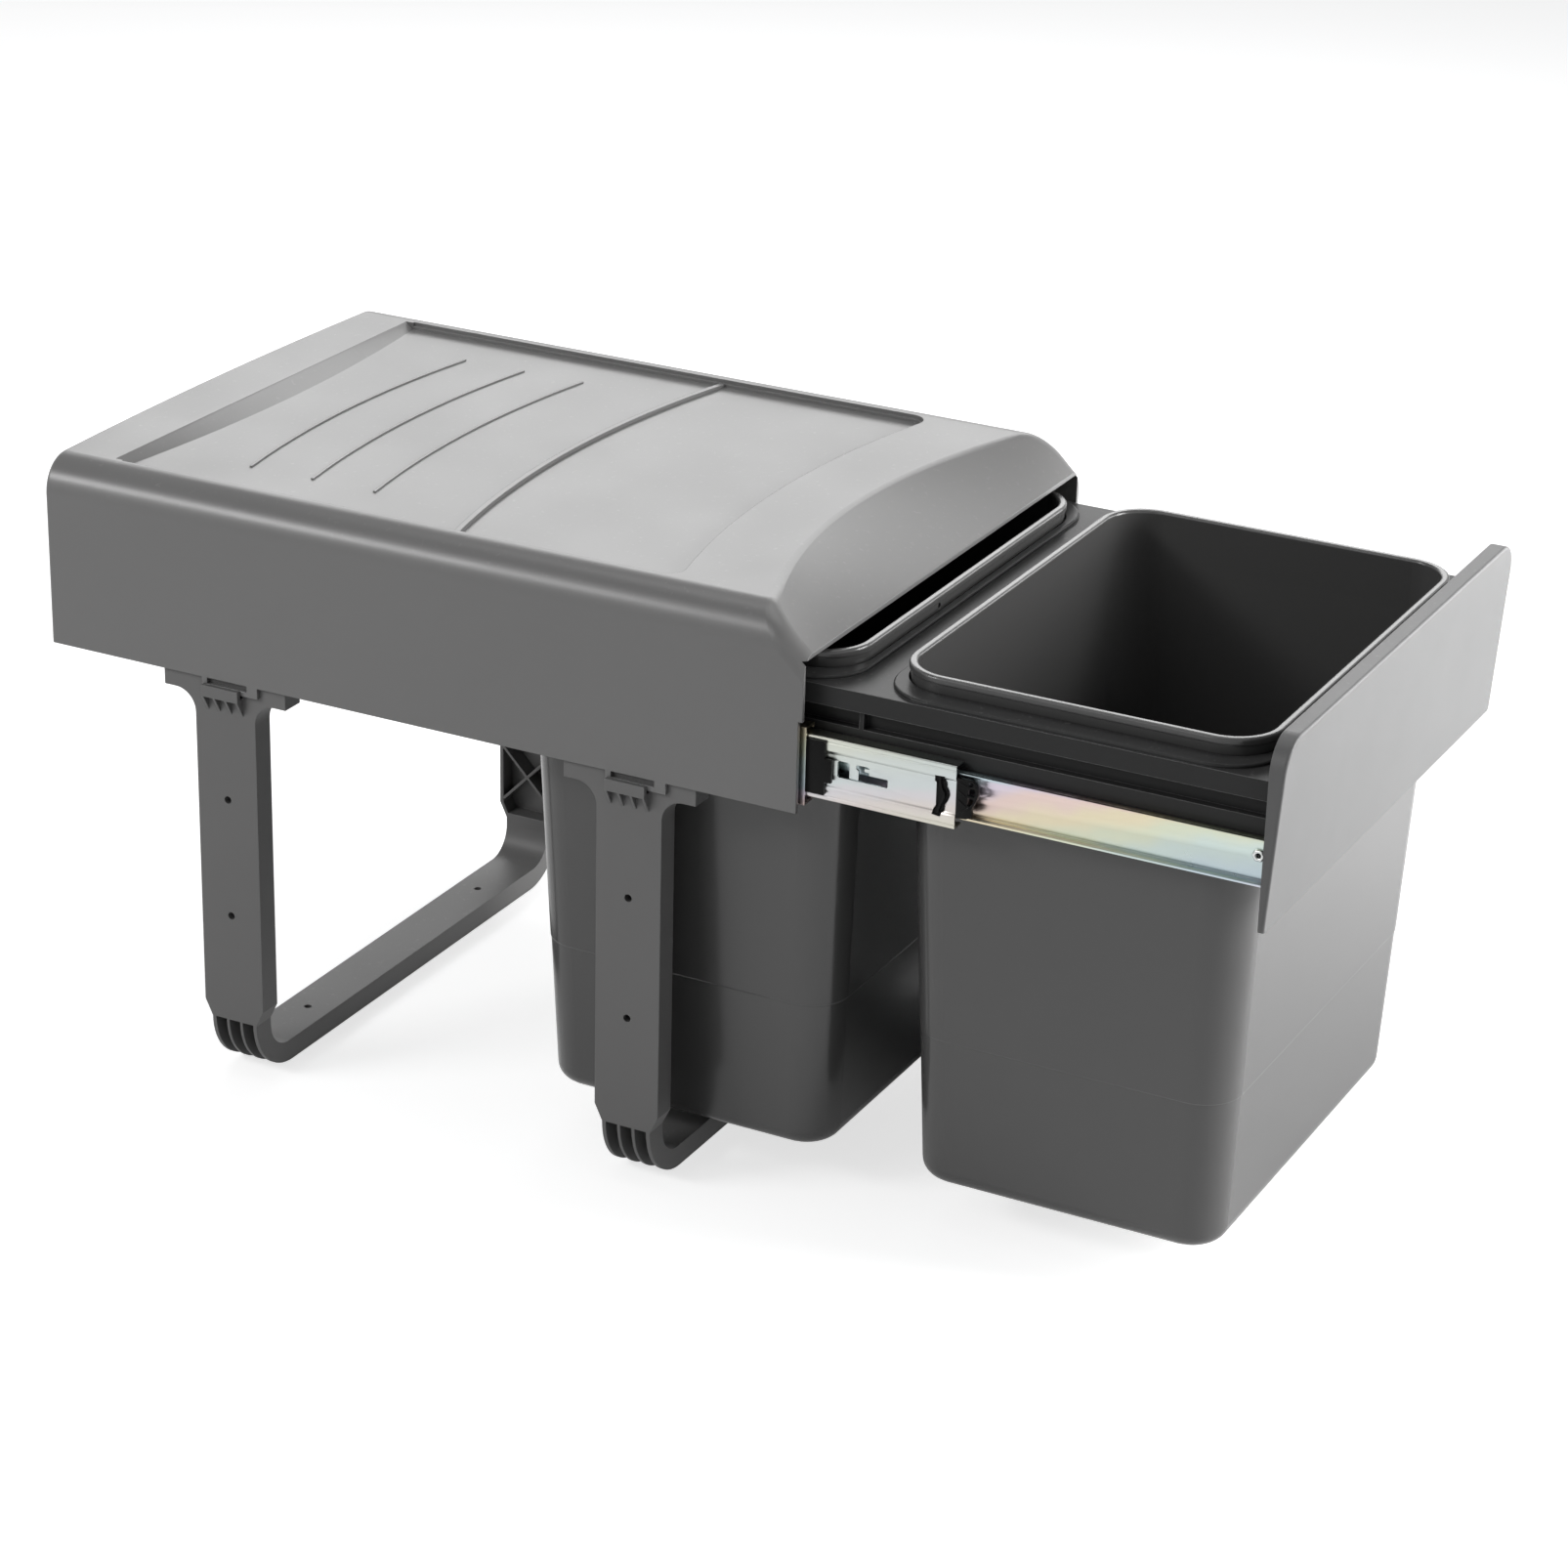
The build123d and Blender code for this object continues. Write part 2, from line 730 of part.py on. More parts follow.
def rounded_tab(rear, front, low, high, corner):
    """YZ face whose two front corners are rounded."""
    face = reach_face([(rear, low), (front, low), (front, high), (rear, high)])
    return fillet(face.vertices().sort_by(Axis.X)[:2], corner)


def front_bumper():
    """Plastic buffer behind the middle member's web, with a slit nose and a plug in the slot."""
    web_in = middle_web_u + slide_steel
    deep = web_in + buffer_thickness
    block = along_x(rounded_tab(buffer_rear_reach, buffer_nose_reach, -buffer_half, buffer_half,
                                buffer_corner), slide_x(web_in), slide_x(deep))
    shelf = middle_jog_height - middle_jog
    nose = along_x(rounded_tab(middle_reach, buffer_nose_reach, -buffer_half, buffer_half, buffer_corner),
                   slide_x(middle_u), slide_x(web_in))
    plug = rail_window(middle_web_u, web_in, catch_slot_middle - catch_slot_width / 2,
                       catch_slot_middle + catch_slot_width / 2, -shelf, shelf)
    bumper = block + nose + plug
    pitch = (buffer_nose_reach - middle_reach) / (buffer_slits + 1)
    for index in range(buffer_slits):
        middle = middle_reach + (index + 1) * pitch
        sign = 1 - 2 * index
        ends = sorted((sign * (buffer_half + overrun), sign * (buffer_half - buffer_slit_length)))
        bumper = bumper - rail_window(middle_u - slide_gap, deep + slide_gap, middle - buffer_slit / 2,
                                      middle + buffer_slit / 2, *ends)
    return bumper


def end_stop():
    """Stepped plastic plate in front of the cabinet member, held by a tongue on its web."""
    points = [(0, -stop_height_below), (stop_reach, -stop_height_below), (stop_reach, -stop_step_half)]
    points += [(stop_reach + stop_step, -stop_step_half), (stop_reach + stop_step, stop_step_half)]
    points += [(stop_reach, stop_step_half), (stop_reach, stop_height_above), (0, stop_height_above)]
    plate = along_x(reach_face(points), slide_x(0), slide_x(stop_thickness))
    tongue = rail_window(slide_steel, stop_thickness, -stop_tongue, 0, -stop_tongue_half, stop_tongue_half)
    return plate + tongue


def lever_pivot_reach():
    return lever_reach - lever_length + lever_pivot_inset


def release_lever():
    """Flat lever with a round hub, a waist and a thumb pad."""
    rear = lever_reach - lever_length
    pivot = lever_pivot_reach()
    hub = lever_width / 2
    waist = lever_waist / 2
    pad = lever_pad_width / 2
    pad_start = lever_reach - lever_pad_length
    lower = [(pivot, -hub), (pivot + hub, -waist), (pad_start - hub, -waist), (pad_start, -pad)]
    lower.append((lever_reach, -pad))
    points = lower + [(reach, -z) for reach, z in reversed(lower)]
    arm = along_x(reach_face(points), slide_x(lever_u), slide_x(lever_u + lever_thickness))
    eye = rod_x(hub, slide_x(lever_u), slide_x(lever_u + lever_thickness), y_at(pivot), slide_middle)
    tail = rail_window(lever_u, lever_u + lever_thickness, rear, pivot, -waist, waist)
    bore = rod_x(lever_pivot_radius + lever_pivot_play, slide_x(lever_u - overrun),
                 slide_x(lever_u + lever_thickness + overrun), y_at(pivot), slide_middle)
    return arm + eye + tail - bore


def lever_rivet():
    y = y_at(lever_pivot_reach())
    head = rod_x(lever_head_radius, slide_x(lever_u - slide_gap - lever_head), slide_x(lever_u - slide_gap),
                 y, slide_middle)
    shank = rod_x(lever_pivot_radius, slide_x(lever_u - slide_gap), slide_x(slide_stack), y, slide_middle)
    return head + shank


# Fasteners

def rivet_place(index):
    return y_at(rivet_first_reach - index * rivet_pitch), slide_middle + rivet_rise


def drawer_rivet(index):
    """Rivet through the drawer member's web and the carrier's side wall, before its bore."""
    y, z = rivet_place(index)
    end = slide_x(slide_stack) + carrier_wall
    head = rod_x(rivet_head_radius, slide_x(drawer_web_u - rivet_head), slide_x(drawer_web_u), y, z)
    shank = rod_x(rivet_shank_radius, slide_x(drawer_web_u), end, y, z)
    tail = rod_x(rivet_head_radius, end, end + rivet_head, y, z)
    return head + shank + tail


def rivet_bore(index):
    y, z = rivet_place(index)
    end = slide_x(slide_stack) + carrier_wall + rivet_head
    return rod_x(rivet_bore_radius, slide_x(drawer_web_u - overrun), end + overrun, y, z)


def cabinet_screw(leg, side):
    """Countersunk screw through the cabinet member and the leg's tongue into the cover."""
    y = leg_y(leg) + side * slide_screw_half_span
    head = Cone(slide_screw_radius, slide_screw_head_radius, slide_steel)
    head = Pos(slide_x(slide_steel / 2), y, slide_middle) * Rot(0, 90, 0) * head
    return head + rod_x(slide_screw_radius, -inner_half - slide_screw_bite, slide_x(0), y, slide_middle)


def panel_screw(x, z):
    """Pan-head screw from inside the carrier's front wall into the panel's boss."""
    inside = panel_reach - carrier_wall
    head = rod_y(panel_screw_head_radius, inside - panel_screw_head, inside, x, z)
    return head + rod_y(panel_screw_radius, inside, panel_reach + panel_screw_bite, x, z)


# Carrier

def neck_size():
    width = bin_width - 2 * bin_rim_overhang
    depth = bin_depth - 2 * bin_rim_overhang
    return width, depth, bin_corner - bin_rim_overhang


def rounded_plan(width, depth, corner, reach):
    return Pos(0, y_at(reach)) * RectangleRounded(width, depth, corner)


def carrier_frame():
    front = panel_reach
    rear = carrier_rear_reach
    lip_in = -carrier_half_width + carrier_wall
    lip_low = carrier_deck_top - carrier_lip_height
    under = carrier_deck_top - carrier_deck
    wall_out = slide_x(slide_stack)
    wall_in = wall_out + carrier_wall
    recess_out = wall_out + carrier_recess
    recess_in = recess_out + carrier_wall
    ledge_low = carrier_ledge_top - carrier_ledge
    points = [(0, carrier_deck_top), (-carrier_half_width, carrier_deck_top), (-carrier_half_width, lip_low)]
    points += [(lip_in, lip_low), (lip_in, under), (recess_out, under), (recess_out, carrier_ledge_top)]
    points += [(wall_out, carrier_ledge_top), (wall_out, carrier_side_bottom)]
    points += [(wall_in, carrier_side_bottom), (wall_in, ledge_low), (recess_in, ledge_low)]
    points += [(recess_in, under), (0, under)]
    frame = both_sides(along_y(points, rear, front))
    for near, far in ((rear, rear + carrier_wall), (front - carrier_wall, front)):
        frame = frame + slab(wall_out, -wall_out, y_at(far), y_at(near), carrier_side_bottom, under)
    between = (front_bin_middle + rear_bin_middle) / 2
    frame = frame + slab(wall_out, -wall_out, y_at(between + carrier_wall / 2),
                         y_at(between - carrier_wall / 2), carrier_bridge_bottom, under)
    width, depth, corner = neck_size()
    width += 2 * neck_clearance
    depth += 2 * neck_clearance
    corner += neck_clearance
    pad_width = 2 * (carrier_half_width - carrier_pad_inset)
    pad_depth = depth + 2 * carrier_pad_margin
    hole = 2 * (bin_shoulder_step - ledge_clearance + neck_clearance)
    clear = carrier_deck_top + carrier_screed + overrun
    for middle in (front_bin_middle, rear_bin_middle):
        pad = upright(rounded_plan(pad_width, pad_depth, carrier_pad_corner, middle),
                      carrier_deck_top, carrier_deck_top + carrier_screed)
        pad = fillet(pad.edges().group_by(Axis.Z)[-1], carrier_pad_round)
        sleeve = upright(rounded_plan(width + 2 * sleeve_wall, depth + 2 * sleeve_wall,
                                      corner + sleeve_wall, middle),
                         seat_top - seat_thickness, carrier_deck_top)
        opening = upright(rounded_plan(width, depth, corner, middle), seat_top - seat_gap, clear)
        passage = upright(rounded_plan(width - hole, depth - hole, corner - hole / 2, middle),
                          carrier_side_bottom - overrun, clear)
        frame = frame + pad + sleeve - opening - passage
    return frame


# Bins

def bin_section(width, depth, corner, inset, z):
    return Pos(0, 0, z) * RectangleRounded(width - 2 * inset, depth - 2 * inset, corner - inset)


def bin_form(inset, step):
    """Tapered body from the shoulder down, drawn in by inset; step is the jog at the parting line."""
    width, depth, corner = neck_size()
    shoulder = seat_top
    floor = bin_bottom + inset
    body_width = width - 2 * bin_shoulder_step
    body_depth = depth - 2 * bin_shoulder_step
    body_corner = corner - bin_shoulder_step
    share = (shoulder - bin_parting) / (shoulder - bin_bottom)
    mid_width = body_width - 2 * bin_side_draft * share
    mid_depth = body_depth - 2 * bin_end_draft * share
    mid_corner = body_corner + (bin_foot_corner - body_corner) * share
    upper = loft([bin_section(mid_width, mid_depth, mid_corner, inset, bin_parting),
                  bin_section(body_width, body_depth, body_corner, inset, shoulder)], ruled=True)
    foot_width = body_width - 2 * bin_side_draft
    foot_depth = body_depth - 2 * bin_end_draft
    lower = loft([bin_section(foot_width, foot_depth, bin_foot_corner, inset + step, floor),
                  bin_section(mid_width, mid_depth, mid_corner, inset + step, bin_parting)], ruled=True)
    lower = fillet(lower.edges().group_by(Axis.Z)[0], bin_floor_round - inset)
    return upper + lower


def waste_bin(middle):
    width, depth, corner = neck_size()
    neck = upright(RectangleRounded(width, depth, corner), seat_top, bin_top - bin_rim_height)
    rim = upright(RectangleRounded(bin_width, bin_depth, bin_corner), bin_top - bin_rim_height, bin_top)
    rim = fillet(rim.edges().group_by(Axis.Z)[-1], bin_rim_round)
    body = bin_form(0, bin_parting_step) + neck + rim
    throat = bin_wall + bin_shoulder_step
    band = 2 * bin_rim_band
    mouth = loft([bin_section(width, depth, corner, throat, seat_top),
                  bin_section(bin_width, bin_depth, bin_corner, bin_rim_band, bin_top + overrun)],
                 ruled=True)
    cavity = bin_form(bin_wall, 0)
    vent = Pos(bin_vent_place, -bin_depth / 2, bin_top - bin_vent_drop) * Rot(90, 0, 0) * Cylinder(
        bin_vent, 2 * band)
    shell = body - cavity - mouth - vent
    inner_edges = shell.faces().sort_by(Axis.Z)[-1].inner_wires()[0].edges()
    shell = fillet(inner_edges, bin_rim_round)
    return Pos(0, y_at(middle), 0) * shell


# Front panel

def panel_block(inset, behind):
    """Panel form drawn in by inset and run on backwards by behind."""
    def face_reach(depth):
        return y_at(panel_reach + depth - inset)
    low = panel_bottom + inset
    high = panel_top - inset
    back = y_at(panel_reach - behind)
    side = Polyline((face_reach(panel_depth_bottom), low), (face_reach(panel_depth_top), high), (back, high),
                    (back, low), close=True)
    half = panel_width / 2 - inset
    block = along_x(make_face(side), -half, half)
    outline = make_face(Polyline((-half, low), (half, low), (half, high), (-half, high), close=True))
    corners = outline.vertices()
    outline = fillet(corners.sort_by(Axis.Y)[2:], panel_corner - inset)
    outline = fillet(outline.vertices().sort_by(Axis.Y)[:2], panel_lower_corner - inset)
    start = panel_reach - behind
    prism = extrude(Plane.XZ.offset(-y_at(start)) * outline, amount=behind + panel_depth_top + overrun)
    return block & prism


def panel_screw_places():
    heights = (panel_screw_low, panel_screw_high)
    return [(side * panel_screw_half_span, z) for side in (-1, 1) for z in heights]


def front_panel():
    block = panel_block(0, 0)
    face = block.faces().filter_by(GeomType.PLANE).sort_by(Axis.Y)[0]
    block = fillet(face.edges(), panel_edge_round)
    shell = block - panel_block(panel_wall, overrun)
    fill = panel_block(panel_wall / 2, 0)
    stiff = []
    pitch = panel_width / (panel_ribs + 1)
    for index in range(panel_ribs):
        x = (index + 1) * pitch - panel_width / 2
        stiff.append(slab(x - panel_rib / 2, x + panel_rib / 2, y_at(panel_reach + panel_depth_top),
                          y_at(panel_reach), panel_bottom + panel_wall / 2, panel_top - panel_wall / 2))
    for x, z in panel_screw_places():
        stiff.append(rod_y(panel_boss_radius, panel_reach, panel_reach + panel_depth_top, x, z))
    for piece in stiff:
        shell = shell + (piece & fill)
    return shell


# The whole set of pieces

def build():
    cabinet_screws = []
    for leg in (0, 1):
        for side in (-1, 1):
            cabinet_screws.append(cabinet_screw(leg, side))
    rivets = [drawer_rivet(index) for index in range(rivet_count)]
    panel_screws = [panel_screw(x, z) for x, z in panel_screw_places()]
    outer_radius, outer_places = outer_ball_row()
    inner_radius, inner_places = inner_ball_row()

    cover = cover_shell()
    member = cabinet_member()
    for screw in cabinet_screws:
        cover = cover - both_sides(screw)
        member = member - screw
    drawer_rail = drawer_member() - lever_rivet()
    carrier = carrier_frame()
    for rivet in rivets:
        drawer_rail = drawer_rail - rivet
        carrier = carrier - both_sides(rivet)
    panel = front_panel()
    for screw in panel_screws:
        carrier = carrier - screw
        panel = panel - screw

    nodes = {"cover_shell": cover, "carrier_frame": carrier, "front_panel": panel}
    nodes["front_bin"] = waste_bin(front_bin_middle)
    nodes["rear_bin"] = waste_bin(rear_bin_middle)
    for index, name in enumerate(("rear_leg_frame", "front_leg_frame")):
        leg = Pos(0, leg_y(index), 0) * leg_frame()
        for screw in cabinet_screws:
            leg = leg - both_sides(screw)
        nodes[name] = leg
    sided = {"cabinet_member": member, "intermediate_member": middle_member(), "drawer_member": drawer_rail}
    sided["outer_cage"] = outer_cage()
    sided["inner_cage"] = inner_cage()
    sided["outer_balls"] = group(balls(outer_radius, outer_ball_u, outer_places))
    sided["inner_balls"] = group(balls(inner_radius, inner_ball_u, inner_places))
    sided["front_bumper"] = front_bumper()
    sided["end_stop"] = end_stop()
    sided["release_lever"] = release_lever()
    for name, shape in sided.items():
        nodes["left_" + name] = shape
        nodes["right_" + name] = mirror(shape, about=Plane.YZ)
    pairs = {"cabinet_screws": cabinet_screws, "lever_rivets": [lever_rivet()]}
    pairs["drawer_rivets"] = [rivets[index] - rivet_bore(index) for index in range(rivet_count)]
    for name, shapes in pairs.items():
        nodes[name] = group(shapes + [mirror(shape, about=Plane.YZ) for shape in shapes])
    nodes["panel_screws"] = group(panel_screws)
    return nodes


os.makedirs("parts", exist_ok=True)
for node_name, node_shape in build().items():
    export_step(node_shape, "parts/" + node_name + ".step")
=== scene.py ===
# %% [markdown]
# A two-bin kitchen pull-out, dressed in Blender. The CAD model already has every part at its
# real size, so this lesson adds what a drawing can't hold: how the moulded plastic takes the
# light, the rainbow film on the zinc, and the fine forms that catch a highlight.
# We load the frame first.

# %% Load the frame
import bpy
import bmesh
import math
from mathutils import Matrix, Quaternion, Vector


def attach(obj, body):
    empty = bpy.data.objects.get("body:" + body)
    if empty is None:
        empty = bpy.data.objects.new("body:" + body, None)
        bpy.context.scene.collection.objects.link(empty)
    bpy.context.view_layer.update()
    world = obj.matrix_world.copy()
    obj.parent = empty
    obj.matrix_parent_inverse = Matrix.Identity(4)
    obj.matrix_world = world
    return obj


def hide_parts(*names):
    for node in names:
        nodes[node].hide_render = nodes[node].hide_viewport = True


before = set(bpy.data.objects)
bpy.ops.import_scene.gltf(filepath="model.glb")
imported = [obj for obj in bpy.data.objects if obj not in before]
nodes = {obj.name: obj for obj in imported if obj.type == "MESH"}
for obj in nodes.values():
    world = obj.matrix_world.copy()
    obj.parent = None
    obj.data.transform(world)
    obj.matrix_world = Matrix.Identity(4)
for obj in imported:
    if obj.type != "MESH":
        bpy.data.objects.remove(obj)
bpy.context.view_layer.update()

# %% [markdown]
# The photograph was taken from the left and a little above, with a long lens from some two and
# a half metres. A long lens keeps the far bin nearly as large as the near one. We set the
# camera by its place, the direction it looks back along, and a small roll of the horizon.

# %% Camera
PHOTO_SIZE = 1605
LENS_PIXELS = 4354.5
SENSOR_WIDTH = 36.0
CAMERA_PLACE = (-1.99382, -1.02604, 1.14581)
CAMERA_AZIMUTH = -63.02
CAMERA_ELEVATION = 23.355
CAMERA_ROLL = 1.4702


def looking_back(azimuth, elevation):
    """Direction from the object to a camera at these angles, in degrees."""
    a, e = math.radians(azimuth), math.radians(elevation)
    return Vector((math.sin(a) * math.cos(e), -math.cos(a) * math.cos(e), math.sin(e)))


camera_data = bpy.data.cameras.new("photo_camera")
camera_data.sensor_width = SENSOR_WIDTH
camera_data.lens = LENS_PIXELS / PHOTO_SIZE * SENSOR_WIDTH
camera_data.clip_start = 0.05
camera_data.clip_end = 60.0
camera = bpy.data.objects.new("photo_camera", camera_data)
bpy.context.collection.objects.link(camera)
camera.location = CAMERA_PLACE
camera.rotation_mode = "QUATERNION"
back = looking_back(CAMERA_AZIMUTH, CAMERA_ELEVATION)
roll = Quaternion((0, 0, 1), math.radians(CAMERA_ROLL))
camera.rotation_quaternion = (-back).to_track_quat("-Z", "Y") @ roll
bpy.context.scene.camera = camera
print("lens", round(camera_data.lens, 2), "mm")

# %% [markdown]
# A studio shot on white needs three things: a floor that keeps the soft shadow, a background
# that the camera and the reflections see as white, and light that is plain enough not to
# burn out the greys. The world is white for camera, glossy and transmission rays, and the
# light that falls on the object from it is weaker. A real studio has a dark ceiling between
# its lamps, and mirrors of it give plastic and zinc their dark bands, so reflections that look
# steeply up find a darker grey.

# %% World
WHITE = (1, 1, 1, 1)
AMBIENT_COLOUR = (0.96, 0.98, 1.0, 1)
AMBIENT_STRENGTH = 0.22
CEILING_STARTS, CEILING_FULL = 0.42, 0.72
CEILING_GREY = 0.22


def math_node(tree, operation, first, second=None, third=None):
    """Math node whose inputs are numbers or sockets. Gives back its output."""
    node = tree.nodes.new("ShaderNodeMath")
    node.operation = operation
    for index, value in enumerate((first, second, third)):
        if value is None:
            continue
        if isinstance(value, (int, float)):
            node.inputs[index].default_value = value
        else:
            tree.links.new(value, node.inputs[index])
    return node.outputs[0]


def light_path(tree):
    return tree.nodes.new("ShaderNodeLightPath").outputs


def white_for_seen_rays(tree):
    """A mask that is 1 for camera, glossy and transmission rays."""
    rays = light_path(tree)
    seen_or_mirrored = math_node(tree, "MAXIMUM", rays["Is Camera Ray"], rays["Is Glossy Ray"])
    return math_node(tree, "MAXIMUM", seen_or_mirrored, rays["Is Transmission Ray"])


scene = bpy.context.scene
scene.view_settings.view_transform = "Standard"
world = bpy.data.worlds.new("studio_white")
scene.world = world
world.use_nodes = True
tree = world.node_tree
tree.nodes.clear()
ambient = tree.nodes.new("ShaderNodeBackground")
ambient.inputs["Color"].default_value = AMBIENT_COLOUR
ambient.inputs["Strength"].default_value = AMBIENT_STRENGTH
seen = tree.nodes.new("ShaderNodeBackground")
seen.inputs["Color"].default_value = WHITE
direction = tree.nodes.new("ShaderNodeTexCoord").outputs["Generated"]
height = tree.nodes.new("ShaderNodeSeparateXYZ")
tree.links.new(direction, height.inputs[0])
ceiling = tree.nodes.new("ShaderNodeMapRange")
ceiling.interpolation_type = "SMOOTHSTEP"
ceiling.inputs["From Min"].default_value = CEILING_STARTS
ceiling.inputs["From Max"].default_value = CEILING_FULL
ceiling.inputs["To Min"].default_value = 1.0
ceiling.inputs["To Max"].default_value = CEILING_GREY
tree.links.new(height.outputs["Z"], ceiling.inputs["Value"])
strength = math_node(tree, "MAXIMUM", ceiling.outputs[0], light_path(tree)["Is Camera Ray"])
tree.links.new(strength, seen.inputs["Strength"])
choose = tree.nodes.new("ShaderNodeMixShader")
out = tree.nodes.new("ShaderNodeOutputWorld")
tree.links.new(white_for_seen_rays(tree), choose.inputs[0])
tree.links.new(ambient.outputs[0], choose.inputs[1])
tree.links.new(seen.outputs[0], choose.inputs[2])
tree.links.new(choose.outputs[0], out.inputs["Surface"])
print("world with", len(tree.nodes), "nodes")

# %% [markdown]
# The floor glows for the camera and is grey paint for the lamps' light, so the soft shadow stays
# and the undersides stay dark. Glossy plastic mirrors the floor, and a white mirror image would
# hide how dark the bins are. So glossy rays find the glow a little weaker everywhere, and much
# weaker in a round patch by the bins, while the floor in the picture stays white.

# %% Floor
FLOOR_SIZE = 14
FLOOR_Z = -0.0008
FLOOR_GREY = (0.62, 0.62, 0.62, 1)
FLOOR_GLOW = 0.7
PATCH_X, PATCH_Y, PATCH_RADIUS = 0.2, -0.16, 0.4
MIRROR_LOSS, PATCH_LOSS = 0.18, 0.9


def own_coordinates(tree):
    return tree.nodes.new("ShaderNodeTexCoord").outputs["Object"]


bpy.ops.object.select_all(action="DESELECT")
bpy.ops.mesh.primitive_plane_add(size=FLOOR_SIZE, location=(0, 0, FLOOR_Z))
floor = bpy.context.object
floor.name = "studio_floor"
floor_paint = bpy.data.materials.new("floor_white")
floor_paint.use_nodes = True
tree = floor_paint.node_tree
tree.nodes.clear()
lit = tree.nodes.new("ShaderNodeBsdfDiffuse")
lit.inputs["Color"].default_value = FLOOR_GREY
glow = tree.nodes.new("ShaderNodeEmission")
glow.inputs["Color"].default_value = WHITE
place = tree.nodes.new("ShaderNodeMapping")
place.inputs["Location"].default_value = (-PATCH_X / PATCH_RADIUS, -PATCH_Y / PATCH_RADIUS, 0)
place.inputs["Scale"].default_value = (1 / PATCH_RADIUS, 1 / PATCH_RADIUS, 1)
tree.links.new(own_coordinates(tree), place.inputs[0])
patch = tree.nodes.new("ShaderNodeTexGradient")
patch.gradient_type = "SPHERICAL"
tree.links.new(place.outputs[0], patch.inputs[0])
loss = math_node(tree, "MULTIPLY_ADD", patch.outputs["Fac"], -PATCH_LOSS, -MIRROR_LOSS)
calm = math_node(tree, "MULTIPLY_ADD", light_path(tree)["Is Glossy Ray"], loss, FLOOR_GLOW)
lift = math_node(tree, "MULTIPLY", white_for_seen_rays(tree), calm)
tree.links.new(lift, glow.inputs["Strength"])
add = tree.nodes.new("ShaderNodeAddShader")
tree.links.new(lit.outputs[0], add.inputs[0])
tree.links.new(glow.outputs[0], add.inputs[1])
out = tree.nodes.new("ShaderNodeOutputMaterial")
tree.links.new(add.outputs[0], out.inputs["Surface"])
floor.data.materials.append(floor_paint)
print("floor at z", floor.location.z)

# %% [markdown]
# A product shot is lit by softboxes, and area lamps as large as the real ones give the same
# wide, soft edges to the highlights. One in front on the right brightens every face that looks
# forward, and a small one beside it washes out the panel's far end. One behind on the right
# lies as a mirror image on the satin top. A strip behind on the left draws the bright line on
# the cover's rolled edge. One overhead and one on the left fill the shadows.

# %% Lamps
UNIT_MIDDLE = Vector((0, 0, 0.2))
PANEL_MIDDLE = Vector((0.05, -0.37, 0.25))
EDGE_REAR = Vector((-0.17, 0.2, 0.33))


def softbox(name, place, size, power, aim):
    """Rectangular area lamp that looks from its place at the aim."""
    data = bpy.data.lights.new(name, "AREA")
    data.shape = "RECTANGLE"
    data.size, data.size_y = size
    data.energy = power
    lamp = bpy.data.objects.new(name, data)
    bpy.context.collection.objects.link(lamp)
    lamp.location = place
    lamp.visible_camera = False
    lamp.rotation_mode = "QUATERNION"
    lamp.rotation_quaternion = (Vector(place) - aim).to_track_quat("Z", "Y")
    print(name, "radiance", round(power / math.pi / (size[0] * size[1]), 2))


softbox("front_box", (0.45, -1.5, 0.66), size=(0.7, 0.9), power=30, aim=PANEL_MIDDLE)
softbox("right_box", (0.78, -0.78, 0.36), size=(0.55, 0.6), power=4.5, aim=PANEL_MIDDLE)
softbox("rear_box", (2.0, 1.0, 1.35), size=(1.8, 0.8), power=13.8, aim=UNIT_MIDDLE)
softbox("overhead_box", (0.2, 0.2, 2.4), size=(1.6, 1.6), power=12, aim=UNIT_MIDDLE)
softbox("left_rear_strip", (-1.62, 1.5, 1.5), size=(0.9, 0.42), power=17, aim=EDGE_REAR)
softbox("left_fill", (-1.9, 0.9, 1.65), size=(1.4, 1.2), power=9, aim=UNIT_MIDDLE)

# %% [markdown]
# Moulded plastic is never one flat colour. The tool leaves a fine grain, the melt cools into
# faint cloudy patches, and handling polishes some places and dusts others. One shader group
# makes those values once, and each plastic uses it with its own numbers.

# %% Moulded grain group
VALUE = "NodeSocketFloat"
COLOUR = "NodeSocketColor"
VECTOR = "NodeSocketVector"


def new_group(name, inputs, outputs):
    """Shader node group with float inputs (name, value) and outputs (name, type)."""
    group = bpy.data.node_groups.new(name, "ShaderNodeTree")
    for label, value in inputs:
        socket = group.interface.new_socket(label, in_out="INPUT", socket_type=VALUE)
        socket.default_value = value
    for label, kind in outputs:
        group.interface.new_socket(label, in_out="OUTPUT", socket_type=kind)
    given = group.nodes.new("NodeGroupInput").outputs
    return group, given, group.nodes.new("NodeGroupOutput")


def give_out(group, end, values):
    for label, socket in values.items():
        group.links.new(socket, end.inputs[label])
    print("group", group.name, "with", len(group.nodes), "nodes")


def flat_normal(tree):
    return tree.nodes.new("ShaderNodeNewGeometry").outputs["Normal"]


def noise(tree, vector, scale, detail=2.0, rough=0.5):
    node = tree.nodes.new("ShaderNodeTexNoise")
    tree.links.new(vector, node.inputs["Vector"])
    if isinstance(scale, (int, float)):
        node.inputs["Scale"].default_value = scale
    else:
        tree.links.new(scale, node.inputs["Scale"])
    node.inputs["Detail"].default_value = detail
    node.inputs["Roughness"].default_value = rough
    return node.outputs["Fac"]


def swing(tree, pattern, size):
    """A noise pattern moved to swing about zero, by a share that is its size."""
    return math_node(tree, "MULTIPLY", math_node(tree, "SUBTRACT", pattern, 0.5), size)


